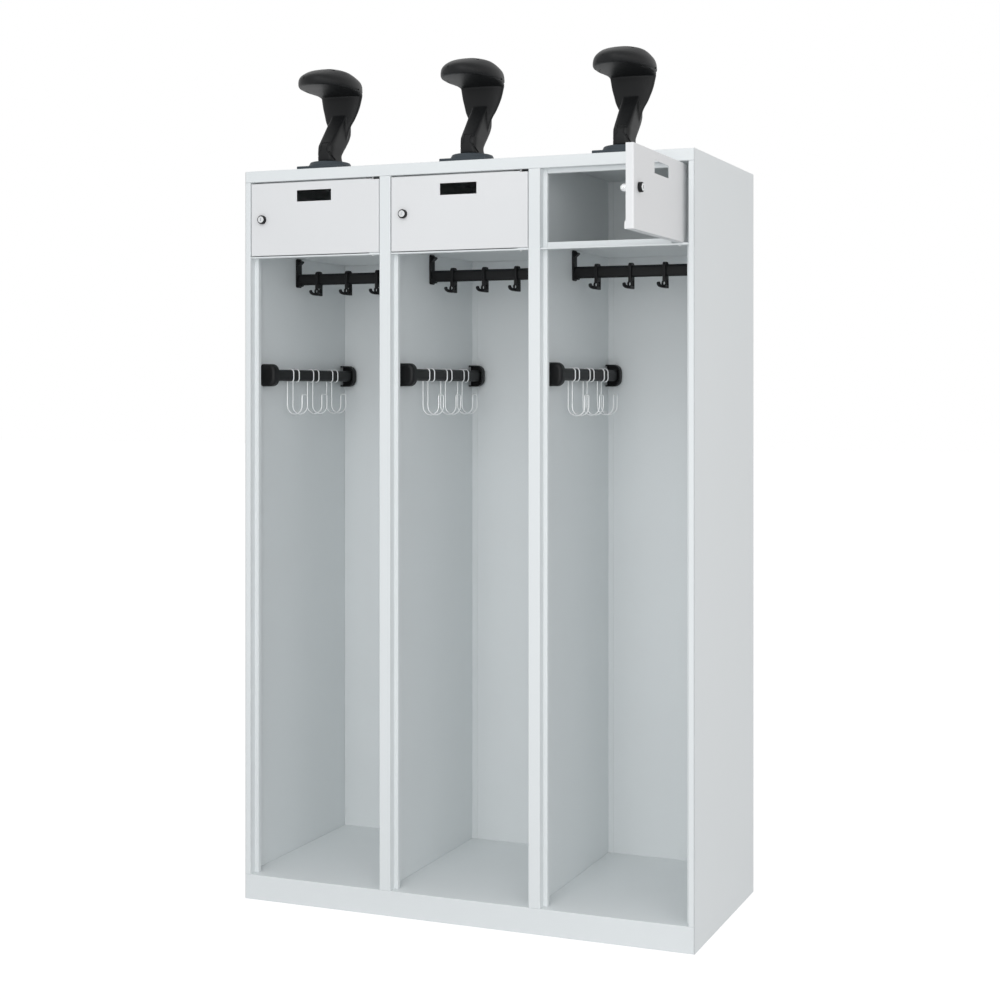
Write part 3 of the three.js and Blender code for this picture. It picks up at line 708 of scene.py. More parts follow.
def is_rim(skin: BVHTree, corner: bmesh.types.BMLoop, reach: float) -> bool:
    """Tells whether the face on an edge's side ends within a reach of that edge.

    Args:
        skin: A search tree of the mesh.
        corner: The face's corner where the edge starts.
        reach: The distance in metres.

    Returns:
        True where the face is only the sheet's rim.
    """
    normal, lift = corner.face.normal, reach / RIM_LIFTS
    along = corner.link_loop_next.vert.co - corner.vert.co
    aside = normal.cross(along).normalized() * reach + normal * lift
    starts = [corner.vert.co + along * share + aside for share in RIM_PROBES]
    return any(skin.ray_cast(start, -normal, 2 * lift)[0] is None for start in starts)


class BentWire:
    """Geometry nodes that bend a round wire about a line of corners."""

    def __init__(self) -> None:
        """Builds the node tree: line, fillets, round section, material."""
        tree = bpy.data.node_groups.new("bent_wire", "GeometryNodeTree")
        self.tree = tree
        self.sockets = {}
        for name, kind in (("Line", "Geometry"), ("Wire radius", "Float"), ("Sides", "Int"),
                           ("Bend steps", "Int"), ("Finish", "Material")):
            kind = "NodeSocket" + kind
            socket = tree.interface.new_socket(name=name, in_out="INPUT", socket_type=kind)
            self.sockets[name] = socket.identifier
        tree.interface.new_socket(name="Wire", in_out="OUTPUT", socket_type="NodeSocketGeometry")
        given = add(tree, "NodeGroupInput").outputs
        line = add(tree, "GeometryNodeMeshToCurve", {"Mesh": given["Line"]}).outputs["Curve"]
        bend = add(tree, "GeometryNodeInputNamedAttribute", {"Name": "bend"}, data_type="FLOAT")
        route = add(tree, "GeometryNodeFilletCurve", {
            "Curve": line,
            "Count": given["Bend steps"],
            "Radius": bend.outputs["Attribute"],
            "Limit Radius": True,
        }, mode="POLY").outputs["Curve"]
        section = add(tree, "GeometryNodeCurvePrimitiveCircle", {
            "Resolution": given["Sides"],
            "Radius": given["Wire radius"],
        }, mode="RADIUS").outputs["Curve"]
        tube = add(tree, "GeometryNodeCurveToMesh", {
            "Curve": route,
            "Profile Curve": section,
            "Fill Caps": True,
        }).outputs["Mesh"]
        real = add(tree, "GeometryNodeRealizeInstances", {"Geometry": tube}).outputs["Geometry"]
        dressed = add(tree, "GeometryNodeSetMaterial", {"Geometry": real, "Material": given["Finish"]})
        add(tree, "NodeGroupOutput", {"Wire": dressed.outputs["Geometry"]})

    def solid(self, corners: Sequence[Point], bends: Sequence[float], radius: float,
              finish: Finish, sides: int = 12, steps: int = 10) -> Solid:
        """Bends a wire.

        Args:
            corners: The corners of its centre line, in millimetres.
            bends: The bend's radius at each corner, and 0 at the ends.
            radius: The wire's radius.
            finish: What it is made of.
            sides: Sides of its round section.
            steps: Steps of each bend.

        Returns:
            The wire as a closed solid.
        """
        line = Solid(corners, [], [(i, i + 1) for i in range(len(corners) - 1)])
        bend = line.piece.data.attributes.new("bend", "FLOAT", "POINT")
        bend.data.foreach_set("value", [value * MM for value in bends])
        modifier = line.piece.modifiers.new("wire", "NODES")
        modifier.node_group = self.tree
        values = {"Wire radius": radius * MM, "Sides": sides, "Bend steps": steps,
                  "Finish": finish.material()}
        for name, value in values.items():
            modifier[self.sockets[name]] = value
        line.baked()
        line.weld()
        return line


@dataclass(frozen=True)
class Carcass:
    """The case's folded sheets. Each is the CAD sheet with its folds rounded.

    Attributes:
        outer: Radius outside a fold, in millimetres.
        inner: Radius inside a fold.
        rim: Radius where the sheet is cut.
        rim_reach: How wide a face that is only a rim may be, in thicknesses of the sheet.
    """

    outer: float = 1.5
    inner: float = 0.5
    rim: float = 0.2
    rim_reach: float = 1.4

    def build(self) -> None:
        """Folds and dresses every sheet of the case."""
        for node in nodes_of(CASE_PAINT):
            sheet = Solid.copy_of(node).fold(self.outer, self.inner, self.rim, self.rim_reach).smooth()
            sheet.stand(node, CASE_PAINT)
            sheet.drop()


@dataclass(frozen=True)
class Door:
    """A folded tray that swings on two pins, with its cylinder lock.

    It is drawn about its pivot. All sizes are in millimetres. The slot, the notch and the stop tab
    have two: across and up, or up and back for the tab. The key slot's are across, up and deep.
    The inner edge's radius is the outer one's over a ratio.
    """

    gap: float = 2
    foot_gap: float = 2
    head_gap: float = 4.5
    bead_rise: float = 2.5
    depth: float = 18.5
    fold_radius: float = 3
    edge_radius: float = 1.2
    inner_edge_ratio: float = 3
    flange: float = 12
    stop_tab: Span = (17, 2.5)
    hinge_inset: float = 22
    pivot_depth: float = 11
    pin_radius: float = 2.5
    pin_chamfer: float = 0.5
    pin_end: float = 3
    pin_steps: int = 32
    slot: Span = (98, 28.5)
    slot_below_head: float = 20.5
    notch: Span = (20, 2)
    open_angles: tuple[float, ...] = (0, 0, 90)
    lock_inset: float = 34
    lock_sharp_angle: float = 30
    lock_steps: int = 64
    rosette_radius: float = 11
    rosette_height: float = 9
    rosette_round: float = 2.4
    lock_body_radius: float = 9.25
    plug_radius: float = 8.2
    plug_depth: float = 6
    plug_proud: float = 0.6
    plug_rim_steps: int = 4
    shaft_radius: float = 6.2
    key_slot: Point = (2.8, 8.5, 4)
    cam_gap: float = 0.8
    cam_thickness: float = 2.5
    cam_radius: float = 9
    cam_reach: float = 30
    cam_tip: float = 14
    cam_corner: float = 3
    cam_corner_steps: int = 5
    cam_edge: float = 0.4
    nut_radius: float = 7
    nut_height: float = 4
    nut_edge: float = 0.5

    @property
    def foot(self) -> float:
        """Height of the door's lower edge."""
        return CASE.shelf_top - CASE.apron + self.bead_rise + self.foot_gap

    @property
    def head(self) -> float:
        """Height of the door's upper edge."""
        return CASE.height - CASE.fascia - self.head_gap

    @property
    def left(self) -> float:
        """The free edge, from the pivot."""
        return self.hinge_inset - (CASE.pitch - 2 * CASE.post_face - 2 * self.gap)

    @property
    def lock(self) -> Span:
        """The lock's middle, across from the pivot and up from the floor."""
        return self.left + self.lock_inset, (self.foot + self.head) / 2

    def section(self, inset: float, back: float, back_radius: float) -> Outline:
        """The tray's outline from above.

        Args:
            inset: How far it lies inside the outer face.
            back: Its place at the back.
            back_radius: Radius of its back corners.

        Returns:
            The outline.
        """
        left, right = self.left + inset, self.hinge_inset - inset
        front, radius = inset - self.pivot_depth, self.fold_radius - inset
        corners = ((right, back, -1, -1, back_radius, 0), (left, back, 1, -1, back_radius, 90),
                   (left, front, 1, 1, radius, 180), (right, front, -1, 1, radius, 270))
        return [point for x, y, across, along, bend, turn in corners
                for point in arc(x + across * bend, y + along * bend, bend, turn, turn + 90, ARC_STEPS)]

    def body(self, inset: float, edge: float, back: float, back_radius: float) -> Solid:
        """The tray's body with round upper and lower edges.

        Args:
            inset: How far it lies inside the outer face.
            edge: Radius of its upper and lower edges.
            back: Its place at the back.
            back_radius: Radius of its back corners.

        Returns:
            The body as a full solid.
        """
        curve = quarter_round(edge)
        foot, head = self.foot + inset, self.head - inset
        levels = [(inset + side, foot + rise) for side, rise in curve]
        levels += [(inset + side, head - rise) for side, rise in reversed(curve)]
        return Solid.loft([[(x, y, z) for x, y in self.section(side, back, back_radius)]
                           for side, z in levels])

    def tray(self) -> Solid:
        """The door's sheet with its flanges, slot, stop tab and pins.

        Returns:
            The tray, drawn about its pivot.
        """
        front, back = -self.pivot_depth, self.depth - self.pivot_depth
        sheet, over = CASE.sheet, CASE.overrun
        edge, inner_edge = self.edge_radius, self.edge_radius / self.inner_edge_ratio
        inside = (self.foot + sheet / 2, self.head - sheet / 2)
        flange_y = (back - sheet, back)
        tray = self.body(0, edge, back, edge)
        tray.cut(self.body(sheet, inner_edge, back + over, inner_edge))
        tray.join(
            Solid.block((self.left + edge, self.left + self.flange), flange_y, inside),
            Solid.block((self.hinge_inset - self.flange, self.hinge_inset - edge), flange_y, inside),
            Solid.block((self.left, self.left + sheet), (back - sheet, back + self.stop_tab[1]),
                        (self.foot, self.foot + self.stop_tab[0])),
        )
        middle = (self.left + self.hinge_inset) / 2
        slot_top = self.head - self.slot_below_head
        through = (front - over, front + sheet + over)
        x, z = self.lock
        hole = Solid.rod(Axis.Y, self.lock_body_radius + CASE.seat, -over, over)
        tray.cut(
            Solid.block((middle - self.slot[0] / 2, middle + self.slot[0] / 2), through,
                        (slot_top - self.slot[1], slot_top)),
            Solid.block((self.hinge_inset - self.notch[0], self.hinge_inset + over),
                        (front - over, back + over), (self.head - self.notch[1], self.head + over)),
            hole.moved(place_at(x, front, z)),
        )
        sill = CASE.shelf_top - CASE.apron
        roof = CASE.height - CASE.fascia + sheet
        return tray.join(self.pin(self.head - sheet / 2, roof + self.pin_end),
                         self.pin(sill - sheet - self.pin_end, self.foot + sheet / 2)).smooth()

    def pin(self, foot: float, head: float) -> Solid:
        """A pivot pin with chamfered ends.

        Args:
            foot: Height of its lower end.
            head: Height of its upper end.

        Returns:
            The pin.
        """
        radius, chamfer = self.pin_radius, self.pin_chamfer
        profile = [(0, foot), (radius - chamfer, foot), (radius, foot + chamfer),
                   (radius, head - chamfer), (radius - chamfer, head), (0, head)]
        return Solid.turned(Axis.Z, profile, self.pin_steps)

    def lock_case(self) -> Solid:
        """The lock's rosette outside the door and its round body behind it.

        Returns:
            The lock case, drawn about the lock's middle.
        """
        front = -self.pivot_depth
        face = front - self.rosette_height
        back = front + CASE.stop_back + self.cam_gap - CASE.seat
        bore, shaft = self.plug_radius + CASE.seat, self.shaft_radius + CASE.seat
        shoulder = face + self.plug_depth
        rounding = self.rosette_round
        rim = arc(self.rosette_radius - rounding, face + rounding, rounding, 270, 360, ARC_STEPS)
        case = Solid.turned(Axis.Y, [
            (bore, face), *rim, (self.rosette_radius, front - CASE.seat),
            (self.lock_body_radius, front - CASE.seat), (self.lock_body_radius, back),
            (shaft, back), (shaft, shoulder), (bore, shoulder), (bore, face),
        ], self.lock_steps).smooth(self.lock_sharp_angle)
        return case.paint(BLACK_NYLON, SATIN_CHROME, lambda middle: middle.y > front)

    def lock_core(self) -> Solid:
        """What turns with the key: plug, shaft, cam and nut.

        Returns:
            The core, drawn about the lock's middle.
        """
        front = -self.pivot_depth
        face = front - self.rosette_height
        shoulder = face + self.plug_depth - CASE.seat
        cam_front = front + CASE.stop_back + self.cam_gap
        cam_back = cam_front + self.cam_thickness
        across, up, deep = self.key_slot
        rim = arc(self.plug_radius - self.plug_proud, face, self.plug_proud, 270, 360, self.plug_rim_steps)
        plug = Solid.turned(Axis.Y, [
            (0, face - self.plug_proud), *rim, (self.plug_radius, shoulder),
            (self.shaft_radius, shoulder), (self.shaft_radius, cam_back), (0, cam_back),
        ], self.lock_steps)
        plug.cut(Solid.block((-across / 2, across / 2), (face - CASE.overrun, face + deep),
                             (-up / 2, up / 2)))
        corner, steps = self.cam_corner, self.cam_corner_steps
        tip, end = self.cam_tip / 2 - corner, self.cam_reach - corner
        shape = [*arc(0, 0, self.cam_radius, 180, 360), *arc(tip, end, corner, 0, 90, steps),
                 *arc(-tip, end, corner, 90, 180, steps)]
        cam = Solid.prism(Axis.Y, shape, cam_front, cam_back).soften(self.cam_edge)
        hexagon = arc(0, 0, self.nut_radius, 0, 360, 6)[:-1]
        nut = Solid.prism(Axis.Y, hexagon, cam_back - CASE.seat, cam_back + self.nut_height)
        return plug.join(cam, nut.soften(self.nut_edge)).smooth(self.lock_sharp_angle)

    def build(self) -> None:
        """Hangs a door with its lock in each bay."""
        tray, case, core = self.tray(), self.lock_case(), self.lock_core()
        x, z = self.lock
        for bay in BAYS:
            pivot = CASE.middle(bay) + CASE.pitch / 2 - CASE.post_face - self.gap - self.hinge_inset
            hung = place_at(pivot, self.pivot_depth, 0, self.open_angles[bay - 1])
            in_door = hung @ place_at(x, 0, z)
            tray.stand(f"door_{bay}", DOOR_PAINT, hung)
            case.stand(f"lock_case_{bay}", BLACK_NYLON, in_door)
            core.stand(f"lock_core_{bay}", SATIN_CHROME, in_door)
        for solid in (tray, case, core):
            solid.drop()


@dataclass(frozen=True)
class CoatRail:
    """A flat oval tube between two wall brackets, with sliding hooks.

    It is drawn about the tube's axis. Sizes in millimetres. The nub's are up, out and across, and
    the eye's are across and up. An edge is the width of a rounding. The middle of the nub's peak
    lies below its top by its height over a ratio.
    """

    height: float = 30
    depth: float = 15
    wall: float = 1.5
    tube_edge: float = 0.3
    below_shelf: float = 57
    setback: float = 250
    bracket_width: float = 26
    bracket_thickness: float = 4
    bracket_drop: float = 21
    bracket_corner: float = 5
    bracket_edge: float = 1.2
    saddle_wall: float = 3
    saddle_reach: float = 10
    saddle_edge: float = 0.6
    nub: Point = (17, 9.8, 18)
    nub_round: float = 3.5
    nub_turn: float = 120
    nub_peak_ratio: float = 3
    hook_count: int = 4
    hook_pitch: float = 90
    hook_gap: float = 0.3
    hook_width: float = 8
    hook_wall: float = 5.5
    hook_top: float = 21
    hook_bottom: float = 44
    hook_round: float = 8.5
    hook_base: float = 7
    hook_web: float = 9
    hook_edge: float = 0.9
    eye: Span = (5.2, 8.5)
    eye_rim: float = 4
    tongue_width: float = 8
    tongue_reach: float = 20.5
    tongue_rise: float = 15
    tongue_tip: float = 6.5
    tongue_twist: float = 36
    tongue_edge: float = 1

    @property
    def axis(self) -> float:
        """Height of the rail's middle."""
        return CASE.shelf_top - self.below_shelf

    def tube(self, bay: int) -> Solid:
        """The rail between a bay's brackets.

        Args:
            bay: The bay, counted from 1 at the left.

        Returns:
            The tube.
        """
        inset = self.bracket_thickness + 2 * CASE.seat
        ends = (CASE.wall(bay, -1) + inset, CASE.wall(bay, 1) - inset)
        bore = upright_oval(self.depth - 2 * self.wall, self.height - 2 * self.wall)
        tube = Solid.prism(Axis.X, upright_oval(self.depth, self.height), *ends)
        past = (ends[0] - CASE.overrun, ends[1] + CASE.overrun)
        return tube.cut(Solid.prism(Axis.X, bore, *past)).soften(self.tube_edge).smooth()

    def bracket(self) -> Solid:
        """The left wall's bracket: a plate up to the shelf, a saddle under the tube and a nub.

        Returns:
            The bracket, drawn from the wall.
        """
        top = self.below_shelf - CASE.sheet - CASE.seat
        thick = self.bracket_thickness
        reach = thick + self.saddle_reach
        outline = rounded_plate(self.bracket_width, top + self.bracket_drop, self.bracket_corner)
        plate = Solid.prism(Axis.X, outline, 0, thick)
        plate.moved(place_at(0, 0, (top - self.bracket_drop) / 2))
        plate.soften(self.bracket_edge, SHOWN_STEPS)
        clear = (self.depth + 2 * CASE.seat, self.height + 2 * CASE.seat)
        ring = upright_oval(*(size + 2 * self.saddle_wall for size in clear))
        saddle = Solid.prism(Axis.X, ring, thick / 2, reach).cut(
            Solid.prism(Axis.X, upright_oval(*clear), thick, reach + CASE.overrun),
            Solid.block((thick, reach + CASE.overrun), (-self.bracket_width, self.bracket_width),
                        (-self.depth / 2, self.height)),
        ).soften(self.saddle_edge)
        tall, out, wide = self.nub
        nub_top = top - self.bracket_corner / 2
        peak = arc(nub_top - tall / self.nub_peak_ratio, thick + out - self.nub_round, self.nub_round,
                   0, self.nub_turn, ARC_STEPS)
        beak = [(nub_top, thick / 2), *peak, (nub_top - tall, thick / 2)]
        nub = Solid.prism(Axis.Y, beak, -wide / 2, wide / 2).soften(self.bracket_edge, SHOWN_STEPS)
        return plate.join(saddle, nub).smooth()

    def loop(self, inner: float, outer: float) -> Solid:
        """The hook's loop round the rail, with its two legs.

        Args:
            inner: From the rail's middle to the inside of a leg.
            outer: From the rail's middle to the outside of a leg.

        Returns:
            The loop.
        """
        foot, crown = self.hook_base - self.hook_bottom, self.hook_top - self.hook_round
        web = -self.height / 2 - self.hook_gap - self.hook_web
        shoulder = outer - self.hook_round
        section = [(outer, -self.hook_bottom), *arc(shoulder, crown, self.hook_round, 0, 90, ARC_STEPS),
                   *arc(-shoulder, crown, self.hook_round, 90, 180, ARC_STEPS),
                   (-outer, -self.hook_bottom)]
        half = self.hook_width / 2
        past = (-self.hook_width, self.hook_width)
        window = [(inner, foot), (inner, web), (-inner, web), (-inner, foot)]
        return Solid.prism(Axis.X, section, -half, half).cut(
            Solid.prism(Axis.X, upright_oval(2 * inner, self.height + 2 * self.hook_gap), *past),
            Solid.prism(Axis.X, window, *past),
        ).soften(self.hook_edge, SHOWN_STEPS)

    def tongue(self) -> Solid:
        """The hook's tongue that curls up.

        Returns:
            The tongue, drawn from the front leg.
        """
        tip, half = self.tongue_tip, self.tongue_width / 2
        foot = self.hook_base - self.hook_bottom
        rise = self.tongue_rise - self.hook_bottom
        under = quadratic((0, -self.hook_bottom), (-self.tongue_reach, -self.hook_bottom),
                          (-self.tongue_reach, rise - tip / 2))
        inside = tip - self.tongue_reach
        over = quadratic((inside, rise - tip / 2), (inside, foot), (0, foot))
        end = arc(tip / 2 - self.tongue_reach, rise - tip / 2, tip / 2, 180, 0, ARC_STEPS)
        curl = Solid.prism(Axis.X, [*under, *end[1:-1], *over], -half, half)
        return curl.soften(self.tongue_edge, SHOWN_STEPS)

    def hook(self) -> Solid:
        """A loop round the rail on two legs, an eye in the front leg and a tongue that curls up.

        Returns:
            The hook.
        """
        inner = self.depth / 2 + self.hook_gap
        outer = inner + self.hook_wall
        loop = self.loop(inner, outer)
        curl = self.tongue().moved(place_at(0, self.hook_wall / 2 - outer, 0, -self.tongue_twist))
        middle = self.hook_base - self.hook_bottom + self.eye[1] / 2 + CASE.seat
        rim = ellipse(middle, self.eye[1] / 2 + self.eye_rim, self.eye[0] / 2 + self.eye_rim)
        hole = ellipse(middle, self.eye[1] / 2, self.eye[0] / 2)
        plate = Solid.prism(Axis.Y, rim, -outer, -inner).soften(self.hook_edge, SHOWN_STEPS)
        loop.join(curl, plate)
        return loop.cut(Solid.prism(Axis.Y, hole, -outer - CASE.overrun, self.hook_gap - inner)).smooth()

    def build(self) -> None:
        """Hangs a rail with its brackets and hooks in each bay."""
        bracket, hook = self.bracket(), self.hook()
        for bay in BAYS:
            tube = self.tube(bay)
            tube.stand(f"coat_rail_{bay}", BLACK_NYLON, place_at(0, self.setback, self.axis))
            tube.drop()
            for side, name, turn in ((-1, "left", 0), (1, "right", 180)):
                x = CASE.wall(bay, side) - side * CASE.seat
                bracket.stand(f"rail_bracket_{name}_{bay}", BLACK_NYLON,
                              place_at(x, self.setback, self.axis, turn))
            for i, x in enumerate(spaced(CASE.middle(bay), self.hook_pitch, self.hook_count), 1):
                hook.stand(f"coat_hook_{bay}_{i}", BLACK_NYLON, place_at(x, self.setback, self.axis))
        bracket.drop()
        hook.drop()


@dataclass(frozen=True)
class SideBar:
    """An oval bar in two bracket cups on a bay's left wall, with double wire hooks on it.

    It is drawn about the bar's axis. Sizes in millimetres. An edge is the width of a rounding.
    """

    height: float = 30
    width: float = 15
    below_shelf: float = 314.5
    from_wall: float = 28
    front: float = 69
    back_inset: float = 5
    cup_height: float = 58
    cup_reach: float = 41.5
    cup_corner: float = 19
    cup_depth: float = 23
    cup_wall: float = 4
    cup_dome: float = 8.5
    cup_edge: float = 1
    cup_edge_angle: float = 50
    socket_wall: float = 2.5
    socket_depth: float = 16
    socket_edge: float = 0.8
    hook_count: int = 3
    hook_pitch: float = 100
    hook_middle: float = 281
    wire: float = 3
    wire_spacing: float = 27
    wire_gap: float = 0.5
    wire_drop: float = 101.5
    wire_bowl: float = 44.3
    wire_tip_drop: float = 50
    wire_tip_fold: float = 6
    wire_sharp_angle: float = 50
    bend_slack: float = 0.01

    def cup_ring(self, inset: float, y: float, wall: float) -> list[Point]:
        """The cup's outline across the bar, open to the wall.

        Args:
            inset: How far it lies inside the outer face.
            y: Its place along the bar.
            wall: Its place on the wall's side.

        Returns:
            The ring's points.
        """
        radius = self.cup_corner - inset
        top = self.cup_height / 2 - self.cup_corner
        side = self.cup_reach - self.from_wall - self.cup_corner
        outline = [*arc(top, side, radius, 0, 90), *arc(-top, side, radius, 90, 180),
                   (inset - self.cup_height / 2, wall), (self.cup_height / 2 - inset, wall)]
        return [turn_to(Axis.Y, (u, v, y)) for u, v in outline]

    def cup(self) -> Solid:
        """A bracket cup with a domed closed end at y = 0 and the bar's socket inside it.

        Returns:
            The cup.
        """
        wall = CASE.seat - self.from_wall
        dome, deep = self.cup_dome, self.cup_depth
        rings = [self.cup_ring(inset, y, wall) for inset, y in quarter_round(dome)]
        shell = Solid.loft([*rings, self.cup_ring(0, deep, wall)])
        past = wall - CASE.overrun
        shell.cut(Solid.loft([self.cup_ring(self.cup_wall, dome, past),
                              self.cup_ring(self.cup_wall, deep + CASE.overrun, past)]))
        shell.soften(self.cup_edge, SHOWN_STEPS, self.cup_edge_angle)
        socket = lying_oval(self.height + 2 * self.socket_wall, self.width + 2 * self.socket_wall)
        tube = Solid.prism(Axis.Y, socket, dome / 2, self.socket_depth)
        return shell.join(tube.soften(self.socket_edge))

    def bar(self) -> Solid:
        """The bar with a cup on each end.

        Returns:
            The bar, with y counted from the case's front.
        """
        back = CASE.depth - self.back_inset
        front_cup, back_cup = self.cup(), self.cup()
        front_cup.moved(place_at(0, self.front, 0))
        back_cup.moved(place_at(0, back, 0) @ Matrix.Rotation(math.pi, 4, "X"))
        half = self.cup_dome / 2
        bar = Solid.prism(Axis.Y, lying_oval(self.height, self.width), self.front + half, back - half)
        return front_cup.join(bar, back_cup).smooth()

    def wire_hook(self, wires: BentWire) -> Solid:
        """One wire bent double: over the bar, down by the wall and up in two J shapes.

        Args:
            wires: What bends the wire.

        Returns:
            The hook.
        """
        clear = self.wire_gap + self.wire / 2
        side, top = self.width / 2 + clear, self.height / 2 + clear
        far_side, bowl = self.wire_bowl - side, self.wire_bowl / 2
        half = [((side, -top), side), ((side, top), side), ((-side, top), side),
                ((-side, -self.wire_drop), bowl), ((far_side, -self.wire_drop), bowl),
                ((far_side, -self.wire_tip_drop), self.wire_tip_fold)]
        near, far = -self.wire_spacing / 2, self.wire_spacing / 2
        route = [((x, near, z), bend) for (x, z), bend in half]
        route += [((x, far, z), bend) for (x, z), bend in reversed(half)]
        corners = [(0, near, -top), *(corner for corner, _ in route), (0, far, -top)]
        bends = [0, *(bend - self.bend_slack for _, bend in route), 0]
        return wires.solid(corners, bends, self.wire / 2, ZINC_WIRE).shaded(self.wire_sharp_angle)

    def build(self, wires: BentWire) -> None:
        """Fits a bar with its hooks in each bay.

        Args:
            wires: What bends the wire.
        """
        bar, hook = self.bar(), self.wire_hook(wires)
        axis = CASE.shelf_top - self.below_shelf
        for bay in BAYS:
            x = CASE.wall(bay, -1) + self.from_wall
            bar.stand(f"side_bar_{bay}", BLACK_NYLON, place_at(x, 0, axis))
            for i, y in enumerate(spaced(self.hook_middle, self.hook_pitch, self.hook_count), 1):
                hook.stand(f"wire_hook_{bay}_{i}", ZINC_WIRE, place_at(x, y, axis))
        bar.drop()
        hook.drop()


@dataclass(frozen=True)
class HelmetHolder:
    """A moulded post with a helmet-shaped head, on a foot on the roof. Sizes in millimetres.

    The post is two skins over level rings: a square stem that leans back from its knee, and a
    thin blade that starts on the stem's sides, spreads upward and ends in the head. Each row of
    shares is a ring: its share of the height, the lean, the width and the depth, and its
    squareness, the exponent of its outline. An ellipse has 2, and more is squarer.

    Each row of the dome is a share of the way out from its top to its foot, and of the height.
    A groove is its radius and a route of points: across, back and up. The stem's routes count back
    from its front and up from the roof. The head's count up from where the neck ends. The crown
    slot's sizes are across, from front to back and down.
    """

    plate_side: float = 120
    plate_height: float = 8.5
    plate_setback: float = 15
    plate_chamfer: float = 1
    plate_corner: float = 4
    plate_edge_angle: float = 60
    dome_radius: float = 54.5
    dome_top_radius: float = 36
    dome_height: float = 16.5
    dome_steps: int = 96
    post_setback: float = 80
    post_sharp_angle: float = 45
    neck_height: float = 175
    neck_width: float = 117
    neck_depth: float = 74
    neck_lean: float = 58
    head_width: float = 147
    head_depth: float = 202
    head_height: float = 60
    crown_slot: Point = (80, 8, 13)
    crown_slot_corner: float = 3.5
    crown_slot_lead: float = 45
    ring_points: int = 72
    row_steps: int = 5
    dome_row_steps: int = 6
    skin_grid: float = 1.6
    skin_smoothing: float = 0.5
    skin_rounds: int = 6
    groove_steps: int = 6
    groove_sides: int = 10
    front_lean: float = 0.1
    nose_hole: float = 3.0
    nose_aside: float = -20
    nose_height: float = 26
    nose_depth: float = 8

    stem_shares: tuple[Row, ...] = (
        (0, 0.02, 0.38, 0.84, 6),
        (0.1, -0.035, 0.36, 0.825, 5.5),
        (0.19, 0.08, 0.375, 0.96, 5.5),
        (0.255, 0.22, 0.37, 1, 7),
        (0.435, 0.625, 0.37, 0.94, 9),
        (0.565, 0.785, 0.37, 0.7, 9),
        (0.64, 0.85, 0.36, 0.48, 9),
        (0.77, 0.97, 0.34, 0.2, 9),
    )
    blade_shares: tuple[Row, ...] = (
        (0.34, 0.74, 0.37, 0.24, 3),
        (0.495, 0.78, 0.49, 0.245, 2.8),
        (0.565, 0.8, 0.58, 0.25, 2.6),
        (0.64, 0.85, 0.7, 0.26, 2.5),
        (0.74, 0.925, 0.805, 0.32, 2.5),
        (0.84, 0.97, 0.9, 0.375, 2.5),
        (1, 1.01, 1, 0.455, 2.4),
    )
    head_shares: tuple[Row, ...] = (
        (0.065, 0.8, 0.82, 0.45, 2.2),
        (0.135, 0.13, 0.975, 0.925, 2),
        (0.195, 0.04, 1, 0.965, 2),
        (0.425, 0.03, 0.965, 1, 2),
        (0.59, 0.04, 0.9, 0.925, 2),
        (0.805, -0.09, 0.74, 0.575, 2),
        (0.9, -0.13, 0.55, 0.36, 2),
        (1, -0.12, 0.2, 0.1, 2),
    )
    dome_shares: tuple[Span, ...] = ((1, 0), (1, 0.25), (0.86, 0.6), (0.72, 0.85), (0, 1))
    stem_grooves: tuple[Groove, ...] = (
        (1.9, ((0, 0, 78), (13, 0, 78))),
        (1.0, ((10, 0, 78), (7.5, 0, 52), (13, 0, 47))),
        (2.6, ((14, 0, 48), (19, 0, 40), (24, 9, 33), (25, 20, 28))),
    )
    head_grooves: tuple[Groove, ...] = (
        (2.0, ((52, -30, 2), (66, 0, 3), (68, 40, 4), (60, 78, 8))),
        (2.0, ((56, -52, 5), (70, -20, 7), (73, 20, 9))),
    )

    @property
    def neck_foot(self) -> float:
        """Where the post begins, above the roof."""
        return 2 * CASE.seat + self.plate_height - self.plate_chamfer + self.dome_height

    @property
    def head_foot(self) -> float:
        """Where the neck ends, above the roof."""
        return self.neck_foot + self.neck_height

    def rings(self, rows: Sequence[Row], foot: float, tall: float, wide: float,
              deep: float) -> list[list[Point]]:
        """Level rings from a finer table of shares.

        Args:
            rows: The table of shares.
            foot: The height that the rings are counted from.
            tall: The full height.
            wide: The full width.
            deep: The full depth.

        Returns:
            The rings, from below.
        """
        rings = []
        for up, lean, width, depth, squareness in smooth_rows(rows, self.row_steps):
            bulge = 2 / squareness
            ring = []
            for x, y in arc(0, 0, 1, 0, 360, self.ring_points)[:-1]:
                ring.append((
                    wide / 2 * width * math.copysign(abs(x) ** bulge, x),
                    self.neck_lean * lean + deep / 2 * depth * math.copysign(abs(y) ** bulge, y),
                    foot + tall * up,
                ))
            rings.append(ring)
        return rings

    def lines(self, skin: BVHTree, route: Sequence[Point], radius: float, wires: BentWire) -> list[Solid]:
        """Cutters for a groove on both sides of the post, each a wire that lies on its skin.

        Args:
            skin: A search tree of the post.
            route: For each point, its place across, a place along y to look from, and its height.
            radius: The groove's radius.
            wires: What bends the wire.

        Returns:
            One cutter for each side.
        """
        cutters = []
        steps = self.groove_steps
        for side in (-1, 1):
            corners = [Vector((side * x, y, z)) for x, y, z in route]
            places = corners[:1]
            for start, end in zip(corners, corners[1:]):
                places += [start.lerp(end, step / steps) for step in range(1, steps + 1)]
            path = [tuple(skin.find_nearest(place * MM)[0] / MM) for place in places]
            cutters.append(wires.solid(path, [0] * len(path), radius, BLACK_NYLON, self.groove_sides))
        return cutters

